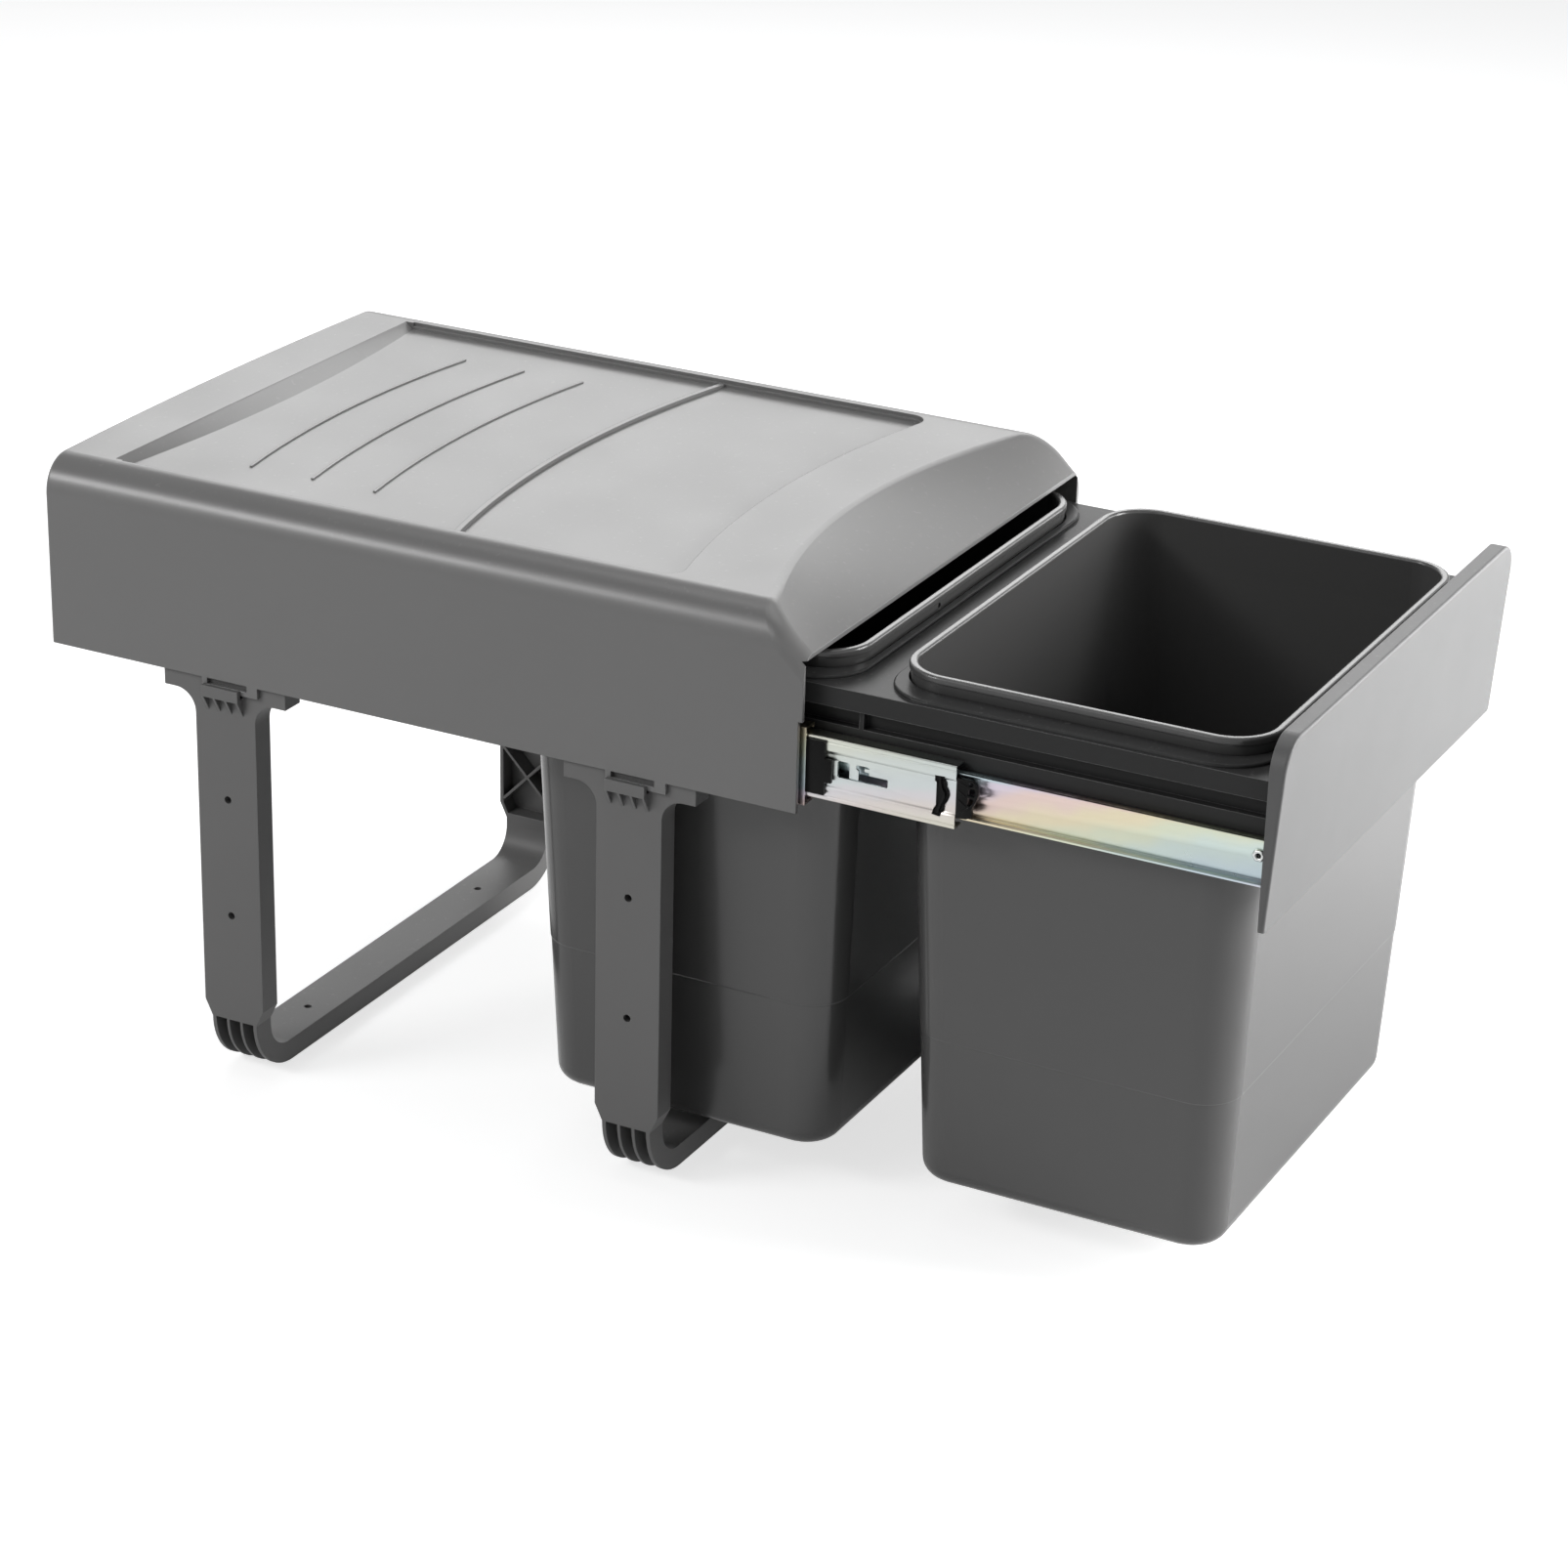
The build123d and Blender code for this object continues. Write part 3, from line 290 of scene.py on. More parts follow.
MM_PER_METRE = 1000.0
SPECK_FLOOR, SPECK_TOP = 0.62, 0.8
skin, given, end = new_group(
    "moulded_skin",
    [("Grain size", 0.6), ("Cloud", 0.05), ("Gloss spread", 0.06), ("Dust", 0.1)],
    [("Shade", VALUE), ("Gloss shift", VALUE), ("Height", VALUE), ("Dust mask", VALUE)])
place = own_coordinates(skin)
per_metre = math_node(skin, "DIVIDE", MM_PER_METRE, given["Grain size"])
grain = noise(skin, place, per_metre, detail=1.5)
cloud = noise(skin, place, scale=9.0, detail=3.0, rough=0.55)
smear = noise(skin, place, scale=16.0)
shade = math_node(skin, "ADD", swing(skin, cloud, given["Cloud"]), 1.0)
gloss = swing(skin, smear, given["Gloss spread"])
specks = skin.nodes.new("ShaderNodeMapRange")
specks.inputs["From Min"].default_value = SPECK_FLOOR
specks.inputs["From Max"].default_value = SPECK_TOP
skin.links.new(noise(skin, place, scale=260.0, rough=0.7), specks.inputs["Value"])
upward = skin.nodes.new("ShaderNodeSeparateXYZ")
skin.links.new(flat_normal(skin), upward.inputs[0])
lying = math_node(skin, "MULTIPLY", math_node(skin, "MAXIMUM", upward.outputs["Z"], 0.0),
                  given["Dust"])
dust = math_node(skin, "MULTIPLY", specks.outputs[0], lying)
give_out(skin, end, {"Shade": shade, "Gloss shift": gloss, "Height": grain, "Dust mask": dust})

# %% [markdown]
# Hands, bins and wipes polish the outer edges of a moulding, so they are a little glossier than
# the faces, and their colour is painted lighter as a painted highlight. The inner corners are
# painted darker as a line of painted shade. A bevel of the normals finds the edges: where the
# rounded normal leaves the flat one there is an edge. Ambient occlusion over a few millimetres
# finds the corners.

# %% Edge highlight and shade group
EDGE_GAIN = 5.0
EDGE_SAMPLES = 5
edge_light_and_shade, given, end = new_group(
    "edge_highlight_and_shade", [("Radius", 0.0008), ("Reach", 0.004)],
    [("Edge mask", VALUE), ("Crevice shade", VALUE), ("Normal", VECTOR)])
rounding = edge_light_and_shade.nodes.new("ShaderNodeBevel")
rounding.samples = EDGE_SAMPLES
edge_light_and_shade.links.new(given["Radius"], rounding.inputs["Radius"])
turned = edge_light_and_shade.nodes.new("ShaderNodeVectorMath")
turned.operation = "DOT_PRODUCT"
edge_light_and_shade.links.new(rounding.outputs[0], turned.inputs[0])
edge_light_and_shade.links.new(flat_normal(edge_light_and_shade), turned.inputs[1])
away = math_node(edge_light_and_shade, "MULTIPLY", math_node(edge_light_and_shade, "SUBTRACT", 1.0, turned.outputs["Value"]),
                 EDGE_GAIN)
# Ambient occlusion gives the mask for the painted shade in corners.
shade_near = edge_light_and_shade.nodes.new("ShaderNodeAmbientOcclusion")
shade_near.samples = EDGE_SAMPLES
edge_light_and_shade.links.new(given["Reach"], shade_near.inputs["Distance"])
open_air = math_node(edge_light_and_shade, "POWER", shade_near.outputs["AO"], 2.0)
patchy = math_node(edge_light_and_shade, "ADD", noise(edge_light_and_shade, own_coordinates(edge_light_and_shade), scale=45.0, detail=3.0), 0.5)
# The edge mask drives a painted highlight in the colour and real polish in the roughness.
highlight_and_polish_mask = math_node(edge_light_and_shade, "MULTIPLY", math_node(edge_light_and_shade, "MINIMUM", away, 1.0), patchy)
give_out(edge_light_and_shade, end, {
    "Edge mask": math_node(edge_light_and_shade, "MULTIPLY", highlight_and_polish_mask, open_air),
    "Crevice shade": math_node(edge_light_and_shade, "SUBTRACT", 1.0, shade_near.outputs["AO"]),
    "Normal": rounding.outputs[0]})

# %% [markdown]
# A plastic material takes both groups' values and turns them into colour, gloss and bump. The
# rounded normal gives each moulded edge the thin light line of a small radius. Four mixes make
# the colour, each over the one before: cloudy tint, dust, painted corner shade, painted edge
# highlight.

# %% Plastic helpers
def new_material(name):
    material = bpy.data.materials.new(name)
    material.use_nodes = True
    return material, material.node_tree, material.node_tree.nodes["Principled BSDF"]


def place_group(tree, group, values):
    """The group as a node of this tree, with its own values."""
    node = tree.nodes.new("ShaderNodeGroup")
    node.node_tree = group
    for label, value in values.items():
        node.inputs[label].default_value = value
    return node.outputs


def mix_colours(tree, share, first, second, blend="MIX"):
    """Mix of two colours. Each input is a socket or a constant."""
    node = tree.nodes.new("ShaderNodeMix")
    node.data_type = "RGBA"
    node.blend_type = blend
    for index, value in ((0, share), (6, first), (7, second)):
        if isinstance(value, bpy.types.NodeSocket):
            tree.links.new(value, node.inputs[index])
        else:
            node.inputs[index].default_value = value
    return node.outputs[2]


def bump(tree, shader, height, depth, normal):
    node = tree.nodes.new("ShaderNodeBump")
    node.inputs["Distance"].default_value = depth
    tree.links.new(height, node.inputs["Height"])
    tree.links.new(normal, node.inputs["Normal"])
    tree.links.new(node.outputs[0], shader.inputs["Normal"])


def grey(level, warmth=0.0):
    """Linear colour of an sRGB grey from 0 to 255, a little warm or cool."""
    linear = ((level / 255 + 0.055) / 1.055) ** 2.4
    return (linear * (1 + warmth), linear, linear * (1 - warmth))


print("white as linear colour", grey(255))

# %% [markdown]
# The plastics of this unit differ in shade, grain and gloss. The cover and the panel have a
# satin grain and the legs a coarser, duller one. The bins are nearly smooth. The carrier is dark
# with little specular, and its edges carry a strong painted highlight. The slide's small black
# parts are acetal.

# %% Plastic materials
MICRON = 1e-6
DUST_COLOUR = (0.55, 0.54, 0.52, 1)
SHADE_SHARE = 0.3
POLISH_GLOSS = -0.12


def plastic(name, colour, roughness, grain_size, grain_depth, cloud=0.06, spread=0.08,
            edge=0.0006, specular=0.5, edge_highlight=0.35, crevice_shade=0.8, highlight_lift=0.06):
    """Moulded plastic. Grain size is in mm and grain depth in metres."""
    material, tree, shader = new_material(name)
    grain = place_group(tree, skin, {"Grain size": grain_size, "Cloud": cloud,
                                     "Gloss spread": spread, "Dust": 0.12})
    edges = place_group(tree, edge_light_and_shade, {"Radius": edge})
    # The corner colour is painted shade, and the edge colour is a painted highlight: lighter
    # colour that stands in for light on the edges.
    painted_shade_colour = (*[SHADE_SHARE * part for part in colour], 1)
    highlight_colour = (*[part + highlight_lift * (1 - part) for part in colour], 1)
    painted_corner_shade = math_node(tree, "MULTIPLY", edges["Crevice shade"], crevice_shade)
    highlight_mask = math_node(tree, "MULTIPLY", edges["Edge mask"], edge_highlight)
    cloudy = mix_colours(tree, 1.0, (*colour, 1), grain["Shade"], "MULTIPLY")
    dusty = mix_colours(tree, grain["Dust mask"], cloudy, DUST_COLOUR)
    shaded = mix_colours(tree, painted_corner_shade, dusty, painted_shade_colour)
    tree.links.new(mix_colours(tree, highlight_mask, shaded, highlight_colour), shader.inputs["Base Color"])
    rough = math_node(tree, "ADD", grain["Gloss shift"], roughness)
    gain = math_node(tree, "MULTIPLY", edges["Edge mask"], POLISH_GLOSS)
    tree.links.new(math_node(tree, "ADD", rough, gain), shader.inputs["Roughness"])
    shader.inputs["Specular IOR Level"].default_value = specular
    bump(tree, shader, grain["Height"], grain_depth, edges["Normal"])
    return material


# The edge settings paint a highlight of lighter colour on the edges, and the crevice setting
# paints shade into the corners.
cover_plastic = plastic("cover_plastic", grey(112, 0.01), roughness=0.32, grain_size=0.7,
                        grain_depth=16 * MICRON, edge_highlight=0.0, crevice_shade=0.35)
leg_plastic = plastic("leg_plastic", grey(101, 0.01), roughness=0.48, grain_size=0.8,
                      grain_depth=30 * MICRON, cloud=0.14)
carrier_plastic = plastic("carrier_plastic", grey(57), roughness=0.3, grain_size=0.8,
                          grain_depth=4 * MICRON, specular=0.08, edge_highlight=1.0, highlight_lift=0.25)
panel_plastic = plastic("panel_plastic", grey(94), roughness=0.4, grain_size=0.7,
                        grain_depth=10 * MICRON, specular=0.38)
bin_plastic = plastic("bin_plastic", grey(76, 0.01), roughness=0.19, grain_size=0.9,
                      grain_depth=2 * MICRON, spread=0.03, edge=0.0011, specular=0.52,
                      edge_highlight=0.8, highlight_lift=0.14)
black_plastic = plastic("black_plastic", grey(12), roughness=0.34, grain_size=0.5,
                        grain_depth=4 * MICRON, edge=0.00025, specular=0.12, edge_highlight=0.8)
print("plastics", [m.name for m in bpy.data.materials if m.name.endswith("plastic")])

# %% [markdown]
# Each CAD node is one moulding or pressing, so one material covers it. The material goes on
# the slots that the node has, because the object's parts list names its finishes by slot.

# %% Dress the plastic nodes
finish_of = {
    "cover_shell": cover_plastic, "rear_leg_frame": leg_plastic, "front_leg_frame": leg_plastic,
    "carrier_frame": carrier_plastic, "front_panel": panel_plastic, "front_bin": bin_plastic,
    "rear_bin": bin_plastic, "left_end_stop": black_plastic, "right_end_stop": black_plastic,
    "left_front_bumper": black_plastic, "right_front_bumper": black_plastic,
    "left_release_lever": black_plastic, "right_release_lever": black_plastic}


def dress(node, material):
    """Every slot of a CAD node gets the material."""
    slots = nodes[node].material_slots
    if not slots:
        nodes[node].data.materials.append(material)
    for slot in slots:
        slot.material = material


for node, material in finish_of.items():
    dress(node, material)
print("plastic nodes", len(finish_of))

# %% [markdown]
# The slides are cold-rolled steel with a bright zinc plate. Its passivation film is thinner
# than a wavelength of light, so it shows bands of yellow, pink and blue that drift along the
# steel. Rolling leaves fine lines along the length.

# %% Zinc group
PLAIN_ZINC = (0.82, 0.83, 0.82, 1)
BAND_LENGTH = 0.24
BANDS = [(0.0, (0.68, 0.82, 0.88)), (0.12, (0.84, 0.76, 0.88)), (0.25, (0.95, 0.76, 0.70)),
         (0.42, (0.96, 0.87, 0.62)), (0.6, (0.84, 0.90, 0.70)), (0.78, (0.74, 0.88, 0.84)),
         (1.0, (0.68, 0.82, 0.88))]
BANDS_PER_METRE_UP, BANDS_START = -18.0, 4.07
BAND_DRIFT = 0.45
ROLLED_STRETCH = (1.0, 0.02, 1.0)
film, given, end = new_group(
    "zinc_film", [("Band length", BAND_LENGTH), ("Film strength", 0.35)],
    [("Colour", COLOUR), ("Gloss shift", VALUE), ("Height", VALUE)])
place = own_coordinates(film)
apart = film.nodes.new("ShaderNodeSeparateXYZ")
film.links.new(place, apart.inputs[0])
drift = math_node(film, "MULTIPLY", noise(film, place, scale=14.0, detail=3.0, rough=0.6),
                  BAND_DRIFT)
along = math_node(film, "DIVIDE", apart.outputs["Y"],
                  math_node(film, "MULTIPLY", given["Band length"], -1.0))
across = math_node(film, "MULTIPLY_ADD", apart.outputs["Z"], BANDS_PER_METRE_UP, BANDS_START)
phase = math_node(film, "ADD", math_node(film, "ADD", along, across), drift)
ramp = film.nodes.new("ShaderNodeValToRGB")
ramp.color_ramp.interpolation = "EASE"
while len(ramp.color_ramp.elements) < len(BANDS):
    ramp.color_ramp.elements.new(0.5)
for element, (position, colour) in zip(ramp.color_ramp.elements, BANDS):
    element.position = position
    element.color = (*colour, 1)
film.links.new(math_node(film, "FRACT", phase), ramp.inputs[0])
stretch = film.nodes.new("ShaderNodeMapping")
stretch.inputs["Scale"].default_value = ROLLED_STRETCH
film.links.new(place, stretch.inputs["Vector"])
give_out(film, end, {
    "Colour": mix_colours(film, given["Film strength"], PLAIN_ZINC, ramp.outputs[0]),
    "Gloss shift": swing(film, noise(film, place, scale=60.0, detail=3.0), 0.12),
    "Height": noise(film, stretch.outputs[0], scale=900.0)})

# %% [markdown]
# Steel is all mirror, so its colour is the film's and only roughness tells a ball from a strip.
# One function gives each part of the slide its own tint, gloss and share of the film. The
# rolled members carry the full rainbow, the punched member in front of them a pale one, and the
# polished balls none.

# %% Metal materials
STEEL_EDGE = 0.0002
STEEL_EDGE_SAMPLES = 4


def metal(name, tint, roughness, film_strength, line_depth):
    """Plated steel. The depth of its rolling lines is in metres."""
    material, tree, shader = new_material(name)
    shader.inputs["Metallic"].default_value = 1.0
    plate_film = place_group(tree, film, {"Film strength": film_strength})
    colour = mix_colours(tree, 1.0, (*tint, 1), plate_film["Colour"], "MULTIPLY")
    tree.links.new(colour, shader.inputs["Base Color"])
    rough = math_node(tree, "ADD", plate_film["Gloss shift"], roughness)
    tree.links.new(rough, shader.inputs["Roughness"])
    rounding = tree.nodes.new("ShaderNodeBevel")
    rounding.samples = STEEL_EDGE_SAMPLES
    rounding.inputs["Radius"].default_value = STEEL_EDGE
    bump(tree, shader, plate_film["Height"], line_depth, rounding.outputs[0])
    return material


zinc = metal("zinc_steel", (0.74, 0.73, 0.73), 0.3, 0.95, 2 * MICRON)
pale_zinc = metal("pale_zinc_steel", (0.72, 0.72, 0.71), 0.32, 0.35, 2 * MICRON)
cage_steel = metal("cage_steel", (0.8, 0.8, 0.8), 0.35, 0.1, 5 * MICRON)
ball_steel = metal("ball_steel", (0.95, 0.95, 0.97), 0.16, 0.0, 0.0)
screw_steel = metal("screw_steel", (0.85, 0.86, 0.86), 0.3, 0.2, 5 * MICRON)
rivet_steel = metal("rivet_steel", (0.78, 0.78, 0.78), 0.26, 0.1, 4 * MICRON)
for side in ("left_", "right_"):
    for member in ("cabinet_member", "intermediate_member", "drawer_member"):
        dress(side + member, zinc)
    for cage in ("outer_cage", "inner_cage"):
        dress(side + cage, cage_steel)
    for row in ("outer_balls", "inner_balls"):
        dress(side + row, ball_steel)
dress("cabinet_screws", screw_steel)
dress("panel_screws", screw_steel)
dress("drawer_rivets", rivet_steel)
dress("lever_rivets", rivet_steel)
print("steels", [m.name for m in bpy.data.materials if m.name.endswith("steel")])

# %% [markdown]
# The slide is the only bright, busy spot of the photograph, so its pieces are modelled anew and
# stand for the plainer CAD nodes. Real members are roll-formed: one strip of steel passes
# through rollers that bend it line by line. We do the same. A plane is the first short run of
# the strip, and its edge is extruded once for each run of the profile. Rounded bends come from
# cutting each corner of the profile into a few short runs.

# %% Strip helpers
WALL_X = -0.170
SLIDE_Z = 0.2746
MM = 0.001


def nothing_selected():
    bpy.ops.object.select_all(action="DESELECT")


def only(piece):
    """This piece alone selected and active."""
    nothing_selected()
    piece.select_set(True)
    bpy.context.view_layer.objects.active = piece


def edit(piece):
    """Edit mode on one piece, everything of it selected."""
    only(piece)
    bpy.ops.object.mode_set(mode="EDIT")
    bpy.ops.mesh.select_all(action="SELECT")


def leave_edit():
    bpy.ops.object.mode_set(mode="OBJECT")


def soften(points, radius, steps=4):
    """Cut each corner of an open line of (a, b) points into a smooth bend."""
    line = [Vector(point) for point in points]
    result = [line[0]]
    for before, corner, after in zip(line, line[1:], line[2:]):
        room = min(radius, (corner - before).length / 2, (after - corner).length / 2)
        start = corner + (before - corner).normalized() * room
        stop = corner + (after - corner).normalized() * room
        for step in range(steps + 1):
            t = step / steps
            result.append(start * (1 - t) ** 2 + corner * (2 * t * (1 - t)) + stop * t * t)
    result.append(line[-1])
    return [point for k, point in enumerate(result)
            if not k or (point - result[k - 1]).length > 0.01]


def at(u, z):
    """Distance from the cover's wall and height above the slide's middle, in mm, as x and z."""
    return WALL_X + u * MM, SLIDE_Z + z * MM


def rolled_strip(name, profile, rear, front):
    """Strip that follows (u, z) points in mm and runs from y = rear to y = front."""
    nothing_selected()
    bpy.ops.mesh.primitive_plane_add(size=1)
    strip = bpy.context.object
    strip.name = name
    (x0, z0), (x1, z1) = at(*profile[0]), at(*profile[1])
    for vertex in strip.data.vertices:
        first = vertex.co.x < 0
        y = rear if vertex.co.y > 0 else front
        vertex.co = (x0 if first else x1, y, z0 if first else z1)
    edit(strip)
    bpy.ops.mesh.select_all(action="DESELECT")
    shape = bmesh.from_edit_mesh(strip.data)
    bpy.ops.mesh.select_mode(type="VERT")
    for vertex in shape.verts:
        vertex.select = abs(vertex.co.x - x1) + abs(vertex.co.z - z1) < 1e-7
    shape.select_flush(True)
    bmesh.update_edit_mesh(strip.data)
    for start, stop in zip(profile[1:], profile[2:]):
        run = (Vector(stop) - Vector(start)) * MM
        bpy.ops.mesh.extrude_edges_move(TRANSFORM_OT_translate={"value": (run.x, 0, run.y)})
    leave_edit()
    print(name, "has", len(strip.data.polygons), "runs")
    return strip


print("the slide's middle is at z", SLIDE_Z)

# %% [markdown]
# Small mouldings and punched windows are plates of one thickness. A plate is an outline that is
# filled and extruded, a window is a plate that is subtracted, and a dish is a face that is inset
# and pressed in. Fine bevels at the end catch the light as real edges do.

# %% Plate helpers
MOUTH_Y = -0.10975
SMOOTH_ANGLE = 35


def finish_with(piece, kind, **settings):
    """Add one modifier with its settings and apply it."""
    only(piece)
    modifier = piece.modifiers.new(kind.title(), kind)
    for key, value in settings.items():
        setattr(modifier, key, value)
    bpy.ops.object.modifier_apply(modifier=modifier.name)


def plate(name, outline, near, far):
    """Flat plate whose outline is (reach, z) in mm, between two distances u from the wall."""
    nothing_selected()
    bpy.ops.mesh.primitive_circle_add(vertices=len(outline), fill_type="NGON")
    piece = bpy.context.object
    piece.name = name
    for vertex, (reach, z) in zip(piece.data.vertices, outline):
        vertex.co = (WALL_X + near * MM, MOUTH_Y - reach * MM, SLIDE_Z + z * MM)
    edit(piece)
    thickness = (far - near) * MM
    bpy.ops.mesh.extrude_region_move(TRANSFORM_OT_translate={"value": (thickness, 0, 0)})
    bpy.ops.mesh.select_all(action="SELECT")
    bpy.ops.mesh.normals_make_consistent(inside=False)
    leave_edit()
    return piece


def cut_through(piece, outline, near, far):
    """Boolean cut of a plate-shaped hole, with the cutter removed afterwards."""
    cutter = plate("cutter", outline, near, far)
    finish_with(piece, "BOOLEAN", object=cutter, operation="DIFFERENCE", solver="EXACT")
    bpy.data.objects.remove(cutter, do_unlink=True)


def dish(piece, near, ring, depth):
    """Inset the face nearest the wall and press its middle in."""
    edit(piece)
    bpy.ops.mesh.select_mode(type="FACE")
    bpy.ops.mesh.select_all(action="DESELECT")
    shape = bmesh.from_edit_mesh(piece.data)
    for face in shape.faces:
        face.select = abs(face.calc_center_median().x - WALL_X - near * MM) < 1e-5
    bmesh.update_edit_mesh(piece.data)
    bpy.ops.mesh.inset(thickness=ring * MM)
    bpy.ops.transform.translate(value=(depth * MM, 0, 0))
    leave_edit()


def joined(name, pieces):
    nothing_selected()
    for piece in pieces:
        piece.select_set(True)
    bpy.context.view_layer.objects.active = pieces[0]
    bpy.ops.object.join()
    pieces[0].name = name
    return pieces[0]


def smooth(piece, angle):
    only(piece)
    bpy.ops.object.shade_smooth_by_angle(angle=math.radians(angle))


def rounded_edges(piece, width, angle):
    """Bevel of a width in mm on every edge that turns by more than the angle."""
    finish_with(piece, "BEVEL", width=width * MM, segments=2, limit_method="ANGLE",
                angle_limit=math.radians(angle), use_clamp_overlap=True)
    smooth(piece, SMOOTH_ANGLE)


print("plates are measured from the mouth at y", MOUTH_Y)

# %% [markdown]
# The unit's left and right slides are mirror images, and each piece rides on the body of its
# own side. A piece is mirrored before it takes over a CAD node, because a copy made later would
# take over the left node as well. Mirroring turns a mesh inside out, so its normals are made
# consistent again.

# %% Two sides
def other_side(piece, name):
    """The same piece on the right side of the unit, with its own mesh."""
    twin = piece.copy()
    twin.data = piece.data.copy()
    twin.name = name
    bpy.context.collection.objects.link(twin)
    edit(twin)
    bpy.ops.transform.resize(value=(-1, 1, 1), center_override=(0, 0, 0))
    bpy.ops.mesh.normals_make_consistent(inside=False)
    leave_edit()
    return twin


def stands_for(piece, node, body, material):
    piece.data.materials.clear()
    piece.data.materials.append(material)
    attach(piece, body)
    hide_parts(node)
    print(piece.name, "for", node, "faces", len(piece.data.polygons))


def on_both_sides(piece, node, bodies, material):
    """The left piece and its right twin, each for the node of its own side."""
    twin = other_side(piece, piece.name.replace("left_", "right_"))
    stands_for(piece, "left_" + node, bodies[0], material)
    stands_for(twin, "right_" + node, bodies[1], material)


ON_DRAWER = ("drawer", "drawer")
ON_FRAME = ("frame", "frame")
ON_MIDDLE = ("left_intermediate", "right_intermediate")
print("bodies of the modelled pieces", ON_DRAWER, ON_FRAME, ON_MIDDLE)

# %% [markdown]
# The intermediate member is the widest strip of the slide. Its middle is set back by one
# thickness, and its flanges turn inwards round the balls. A shallow groove under each bend keeps
# the flange stiff, and it is what draws the dark line along the top edge of the photograph.

# %% Intermediate member
STEEL = 1.2
MIDDLE_HALF = [(10.9, 17.15), (3.0, 17.15), (3.0, 15.8), (3.6, 15.2), (3.0, 14.6), (3.0, 10.5),
               (4.2, 9.3)]
MIDDLE_REAR, MIDDLE_FRONT = 0.24475, -0.19525


def whole_profile(half):
    """Upper half of a profile and its mirror image below the middle."""
    return half + [(u, -z) for u, z in reversed(half)]


def thicken(strip):
    finish_with(strip, "SOLIDIFY", thickness=STEEL * MM, offset=0, use_even_offset=True)


middle_profile = soften(whole_profile(MIDDLE_HALF), radius=1.3)
middle = rolled_strip("left_rail_middle", middle_profile, MIDDLE_REAR, MIDDLE_FRONT)
thicken(middle)
print("strip of", len(middle.data.polygons), "faces")

# %% [markdown]
# Presses punch windows into the strip after rolling. The photograph shows a small square, an
# L-shaped slot with a hooked tongue left standing in it, and near the nose a slot with a bowed
# side that holds the plastic buffer. Each window is one outline of points, extruded to a cutter
# and subtracted, which is how a punch works.

# %% Punched windows
HOOK_WINDOW = [(17.0, -2.7), (17.8, -3.5), (45.6, -3.5), (46.2, -2.9), (46.2, 0.6), (45.7, 1.1),
               (35.3, 1.1), (35.3, 2.7), (33.1, 2.7), (32.5, 3.2), (32.5, 4.1), (33.1, 4.6),
               (35.3, 4.6), (35.3, 5.2), (34.7, 5.7), (28.4, 5.7), (27.8, 5.1), (27.8, 3.4),
               (29.2, 2.6), (29.2, -2.8), (23.9, -2.8), (23.9, 5.1), (23.2, 5.8), (17.8, 5.8),
               (17.0, 5.0)]
BOWED_SLOT = [(72.3, -11.5), (77.2, -12.2), (77.8, -9.8), (78.9, -8.4), (79.1, -5.2),
              (80.8, -2.6), (81.7, 0.0), (81.2, 2.7), (79.9, 4.8), (79.8, 7.2), (78.9, 8.2),
              (79.2, 10.8), (73.3, 10.4), (73.3, 7.2), (74.3, 6.6), (74.3, -6.4), (72.9, -8.7)]
STEEL_ROUND = {"width": 0.14, "angle": 50}
for window in (HOOK_WINDOW, BOWED_SLOT):
    cut_through(middle, window, near=2.0, far=6.0)
rounded_edges(middle, **STEEL_ROUND)
on_both_sides(middle, "intermediate_member", ON_MIDDLE, pale_zinc)

# %% [markdown]
# The drawer member carries the bins. Its flanges have a race, a long shallow channel that the
# balls run in from outside. From inside, the same channel stands up as a ridge, and that makes
# the parallel dark and bright lines along the lower edge of the slide.

# %% Drawer member
DRAWER_HALF = [(6.4, 12.2), (7.3, 12.2), (8.0, 11.75), (8.65, 11.6), (9.3, 11.75), (10.0, 12.2),
               (12.1, 12.2)]
DRAWER_REAR, DRAWER_FRONT = 0.08475, -0.36525
RIVET_Y = (-0.35875, -0.17475, 0.00925)
RIVET_Z = 0.2766
BORE = 2.2
BORE_SIDES = 24


def ring_points(y, z, radius):
    """Circle as a (reach, z) outline in mm."""
    reach, high = (MOUTH_Y - y) / MM, (z - SLIDE_Z) / MM
    angles = [2 * math.pi * k / BORE_SIDES for k in range(BORE_SIDES)]
    return [(reach + radius * math.cos(a), high + radius * math.sin(a)) for a in angles]


runner_profile = soften(whole_profile(DRAWER_HALF), radius=1.1)
runner = rolled_strip("left_rail_drawer", runner_profile, DRAWER_REAR, DRAWER_FRONT)
thicken(runner)
for y in RIVET_Y:
    cut_through(runner, ring_points(y, RIVET_Z, BORE), near=10.5, far=13.5)
rounded_edges(runner, **STEEL_ROUND)
on_both_sides(runner, "drawer_member", ON_DRAWER, zinc)

# %% [markdown]
# A hollow rivet is a short tube whose end is rolled over into a collar by a riveting tool. The
# tool's jaws leave soft lobes round the collar. A turned part is a spun profile: the outline of
# half a section goes once round the axis, and then the collar's rim is pushed in and out six
# times to give the lobes.

# %% Hollow rivets
COLLAR = [(1.3, -4.7), (1.3, 0.75), (1.5, 1.15), (2.0, 1.38), (2.7, 1.3), (3.3, 0.95),
          (3.6, 0.4), (3.55, 0.0), (2.2, 0.0), (2.2, -3.7), (3.6, -3.7), (3.6, -4.3), (3.2, -4.7)]
WEB_U = 11.5
LOBES = 6
LOBE_DEPTH = 0.05
LOBES_FROM_RADIUS = 2.4
SPIN_STEPS = 36


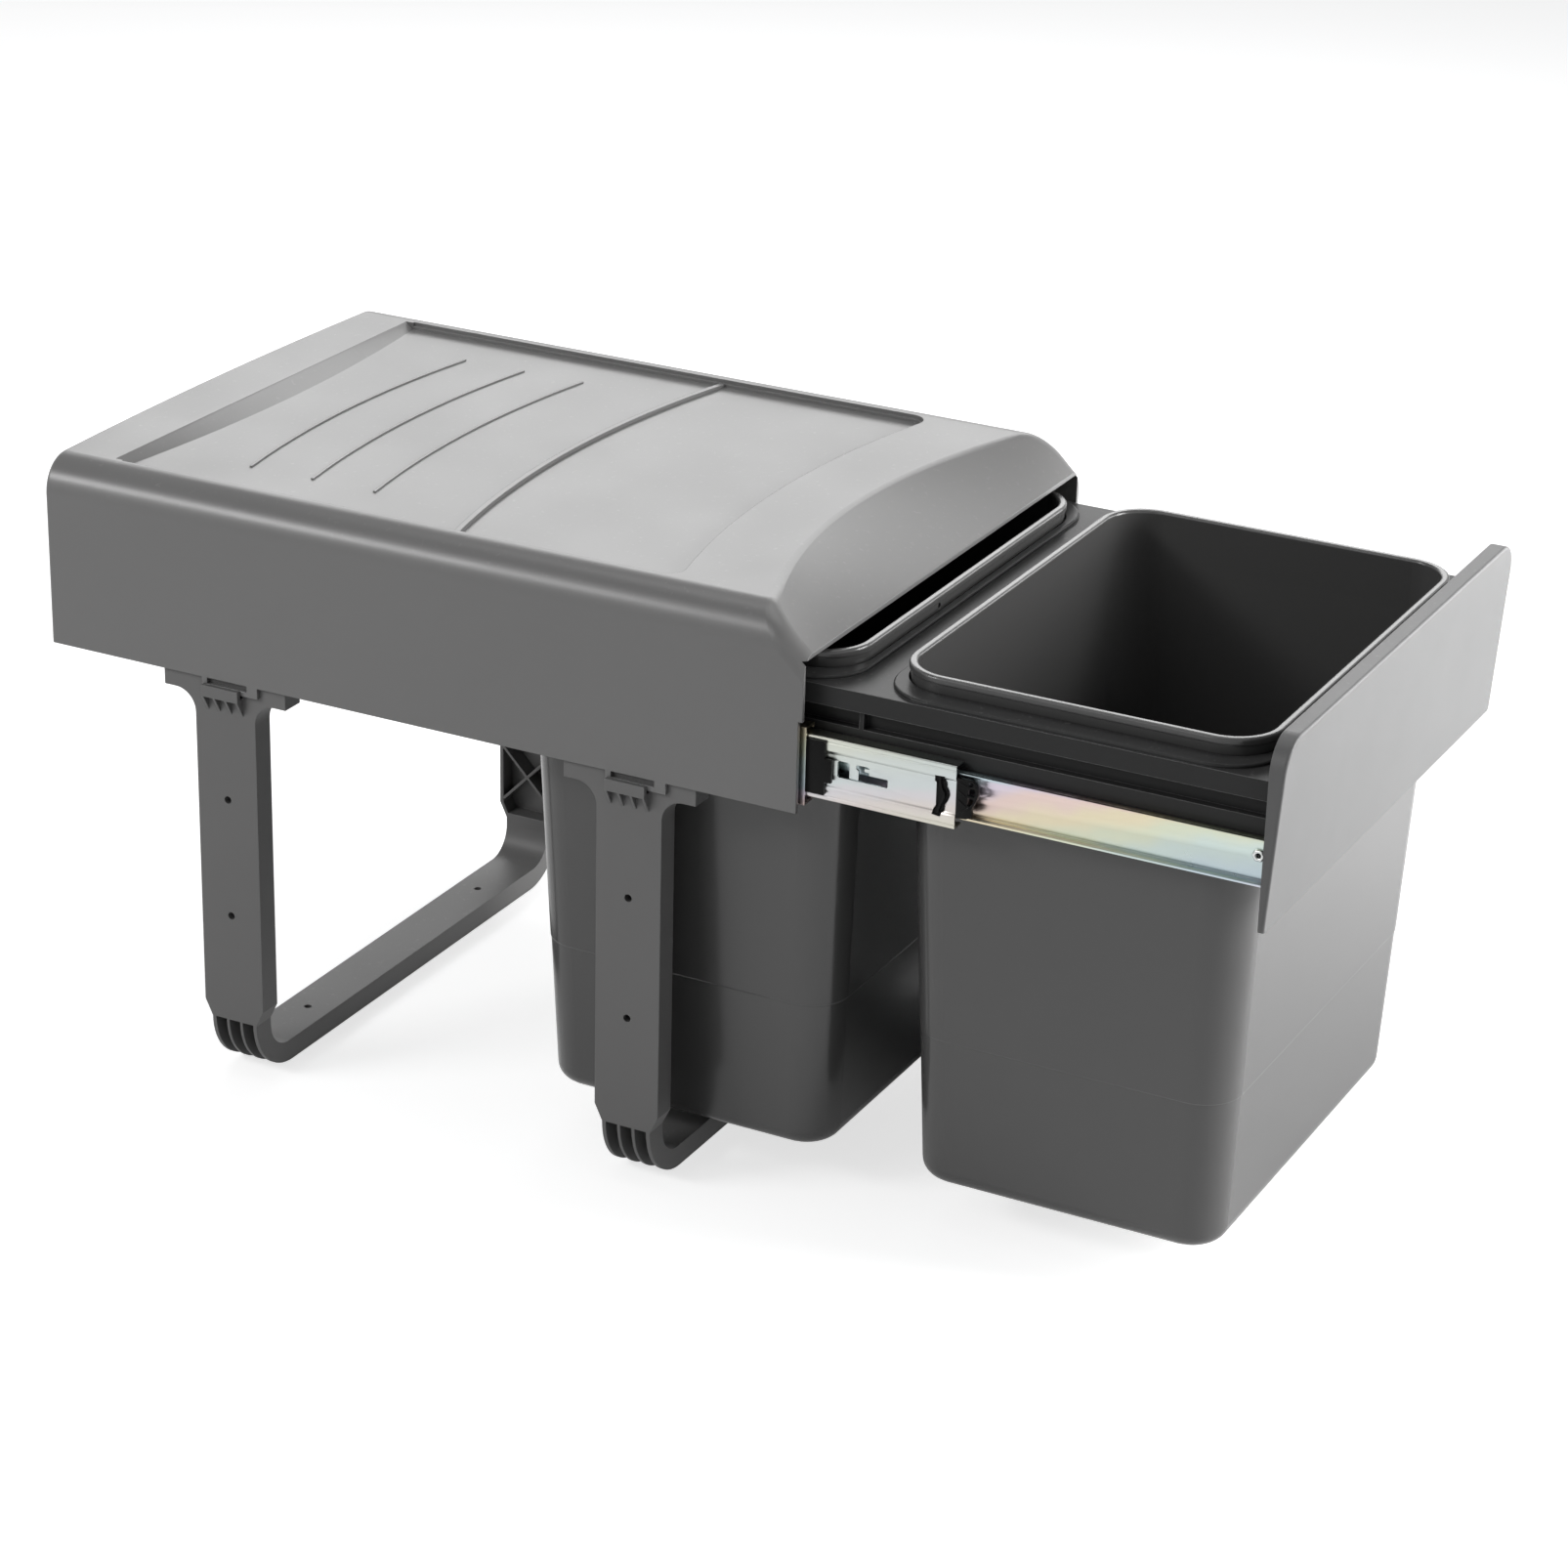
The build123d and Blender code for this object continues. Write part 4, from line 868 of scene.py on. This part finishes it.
def hollow_rivet(name, y, z):
    """Tube with a rolled collar on the drawer member's web, its axis along x."""
    nothing_selected()
    bpy.ops.mesh.primitive_circle_add(vertices=len(COLLAR), fill_type="NOTHING")
    rivet = bpy.context.object
    rivet.name = name
    for vertex, (radius, proud) in zip(rivet.data.vertices, COLLAR):
        vertex.co = (WALL_X + (WEB_U - proud) * MM, y, z + radius * MM)
    edit(rivet)
    bpy.ops.mesh.spin(steps=SPIN_STEPS, angle=2 * math.pi, center=(0, y, z), axis=(1, 0, 0))
    bpy.ops.mesh.select_all(action="SELECT")
    bpy.ops.mesh.remove_doubles(threshold=1e-6)
    bpy.ops.mesh.normals_make_consistent(inside=False)
    leave_edit()
    for vertex in rivet.data.vertices:
        proud = WEB_U - (vertex.co.x - WALL_X) / MM
        arm = Vector((vertex.co.y - y, vertex.co.z - z))
        if proud < 0.05 or arm.length < LOBES_FROM_RADIUS * MM:
            continue
        push = 1 - LOBE_DEPTH * (1 - math.cos(LOBES * math.atan2(arm.y, arm.x)))
        vertex.co.y, vertex.co.z = y + arm.x * push, z + arm.y * push
    return rivet


rivets = [hollow_rivet("rivets_left" + str(k), y, RIVET_Z) for k, y in enumerate(RIVET_Y)]
left_row = joined("rivets_left", rivets)
smooth(left_row, 50)
both_rows = joined("hollow_rivets", [left_row, other_side(left_row, "rivets_right")])
stands_for(both_rows, "drawer_rivets", "drawer", rivet_steel)

# %% [markdown]
# The buffer is one moulding of black acetal that snaps into the intermediate member. Behind the
# bowed slot a wavy spring gives it its snap, and ahead of the steel a nose with a springy arm
# takes the blow when the drawer opens fully. Acetal parts like this are plates of one thickness
# with windows, so a plate is extruded from its outline, cut, and its edges rounded.

# %% Buffer
NOSE = [(85.6, -11.2), (91.8, -10.6), (94.6, -8.9), (94.9, -7.4), (94.2, -5.8), (94.5, -4.3),
        (95.6, -2.2), (97.0, 0.6), (97.8, 3.2), (98.0, 5.6), (97.6, 8.0), (96.4, 10.0),
        (94.8, 11.0), (92.5, 11.25), (85.6, 11.25)]
ARM_WINDOWS = [[(92.4, 7.9), (94.6, 7.7), (95.2, 9.4), (94.4, 10.1), (92.6, 10.3)],
               [(92.0, 2.8), (95.5, 2.2), (96.6, 4.4), (96.2, 6.6), (94.4, 6.9), (92.2, 6.0)],
               [(91.8, -2.6), (93.6, -3.2), (95.4, -0.4), (95.7, 1.1), (92.0, 1.6)]]
SPRING_LINE = [(76.4, 10.0), (76.3, 6.6), (77.0, 3.6), (78.6, 1.4), (78.9, -0.8), (77.6, -3.8),
               (76.2, -6.8), (75.4, -10.6)]
SPRING_HALF = 0.5
BACKING = [(73.0, -11.2), (86.2, -11.2), (86.2, 11.2), (73.0, 11.2)]
RIBS = [((86.6, 9.4), (91.8, 7.6)), ((86.8, 4.6), (91.4, 1.8)), ((86.8, -0.6), (91.4, -3.6)),
        ((87.0, -8.6), (93.2, -4.0))]
RIB_HALF = 0.45


def spring_outline(line, half):
    bends = soften(line, radius=2.0, steps=3)
    return [(y - half, z) for y, z in bends] + [(y + half, z) for y, z in reversed(bends)]


def rib_outline(start, stop, half):
    (y0, z0), (y1, z1) = start, stop
    return [(y0, z0 - half), (y1, z1 - half), (y1, z1 + half), (y0, z0 + half)]


insert = plate("insert", BOWED_SLOT, near=3.0, far=5.2)
dish(insert, near=3.0, ring=0.75, depth=1.0)
spring = plate("spring", spring_outline(SPRING_LINE, SPRING_HALF), near=2.95, far=4.6)
backing = plate("backing", BACKING, near=5.0, far=8.4)
nose = plate("nose", NOSE, near=2.9, far=5.4)
for window in ARM_WINDOWS:
    cut_through(nose, window, near=2.0, far=10.0)
ribs = [plate("rib", rib_outline(*ends, RIB_HALF), near=2.45, far=3.2) for ends in RIBS]
buffer = joined("left_buffer", [nose, insert, spring, backing] + ribs)
rounded_edges(buffer, width=0.22, angle=45)
on_both_sides(buffer, "front_bumper", ON_MIDDLE, black_plastic)

# %% [markdown]
# The end stop closes the front of the cabinet member. It is a thin shell with a raised rim, as
# thin mouldings often have, and the rim shows as the fine light lines at the mouth of the cover.

# %% End stop
STOP = [(0.0, -14.0), (11.0, -14.0), (11.0, -6.5), (15.0, -6.5), (15.0, 6.5), (11.0, 6.5),
        (11.0, 16.0), (0.0, 16.0)]
TONGUE = [(-12.0, -8.0), (0.4, -8.0), (0.4, 8.0), (-12.0, 8.0)]
face_plate = plate("face_plate", STOP, near=2.1, far=0.0)
dish(face_plate, near=2.1, ring=0.7, depth=-0.6)
tongue = plate("tongue", TONGUE, near=1.25, far=2.05)
stop_cap = joined("left_stop_cap", [face_plate, tongue])
rounded_edges(stop_cap, width=0.16, angle=45)
on_both_sides(stop_cap, "end_stop", ON_FRAME, black_plastic)
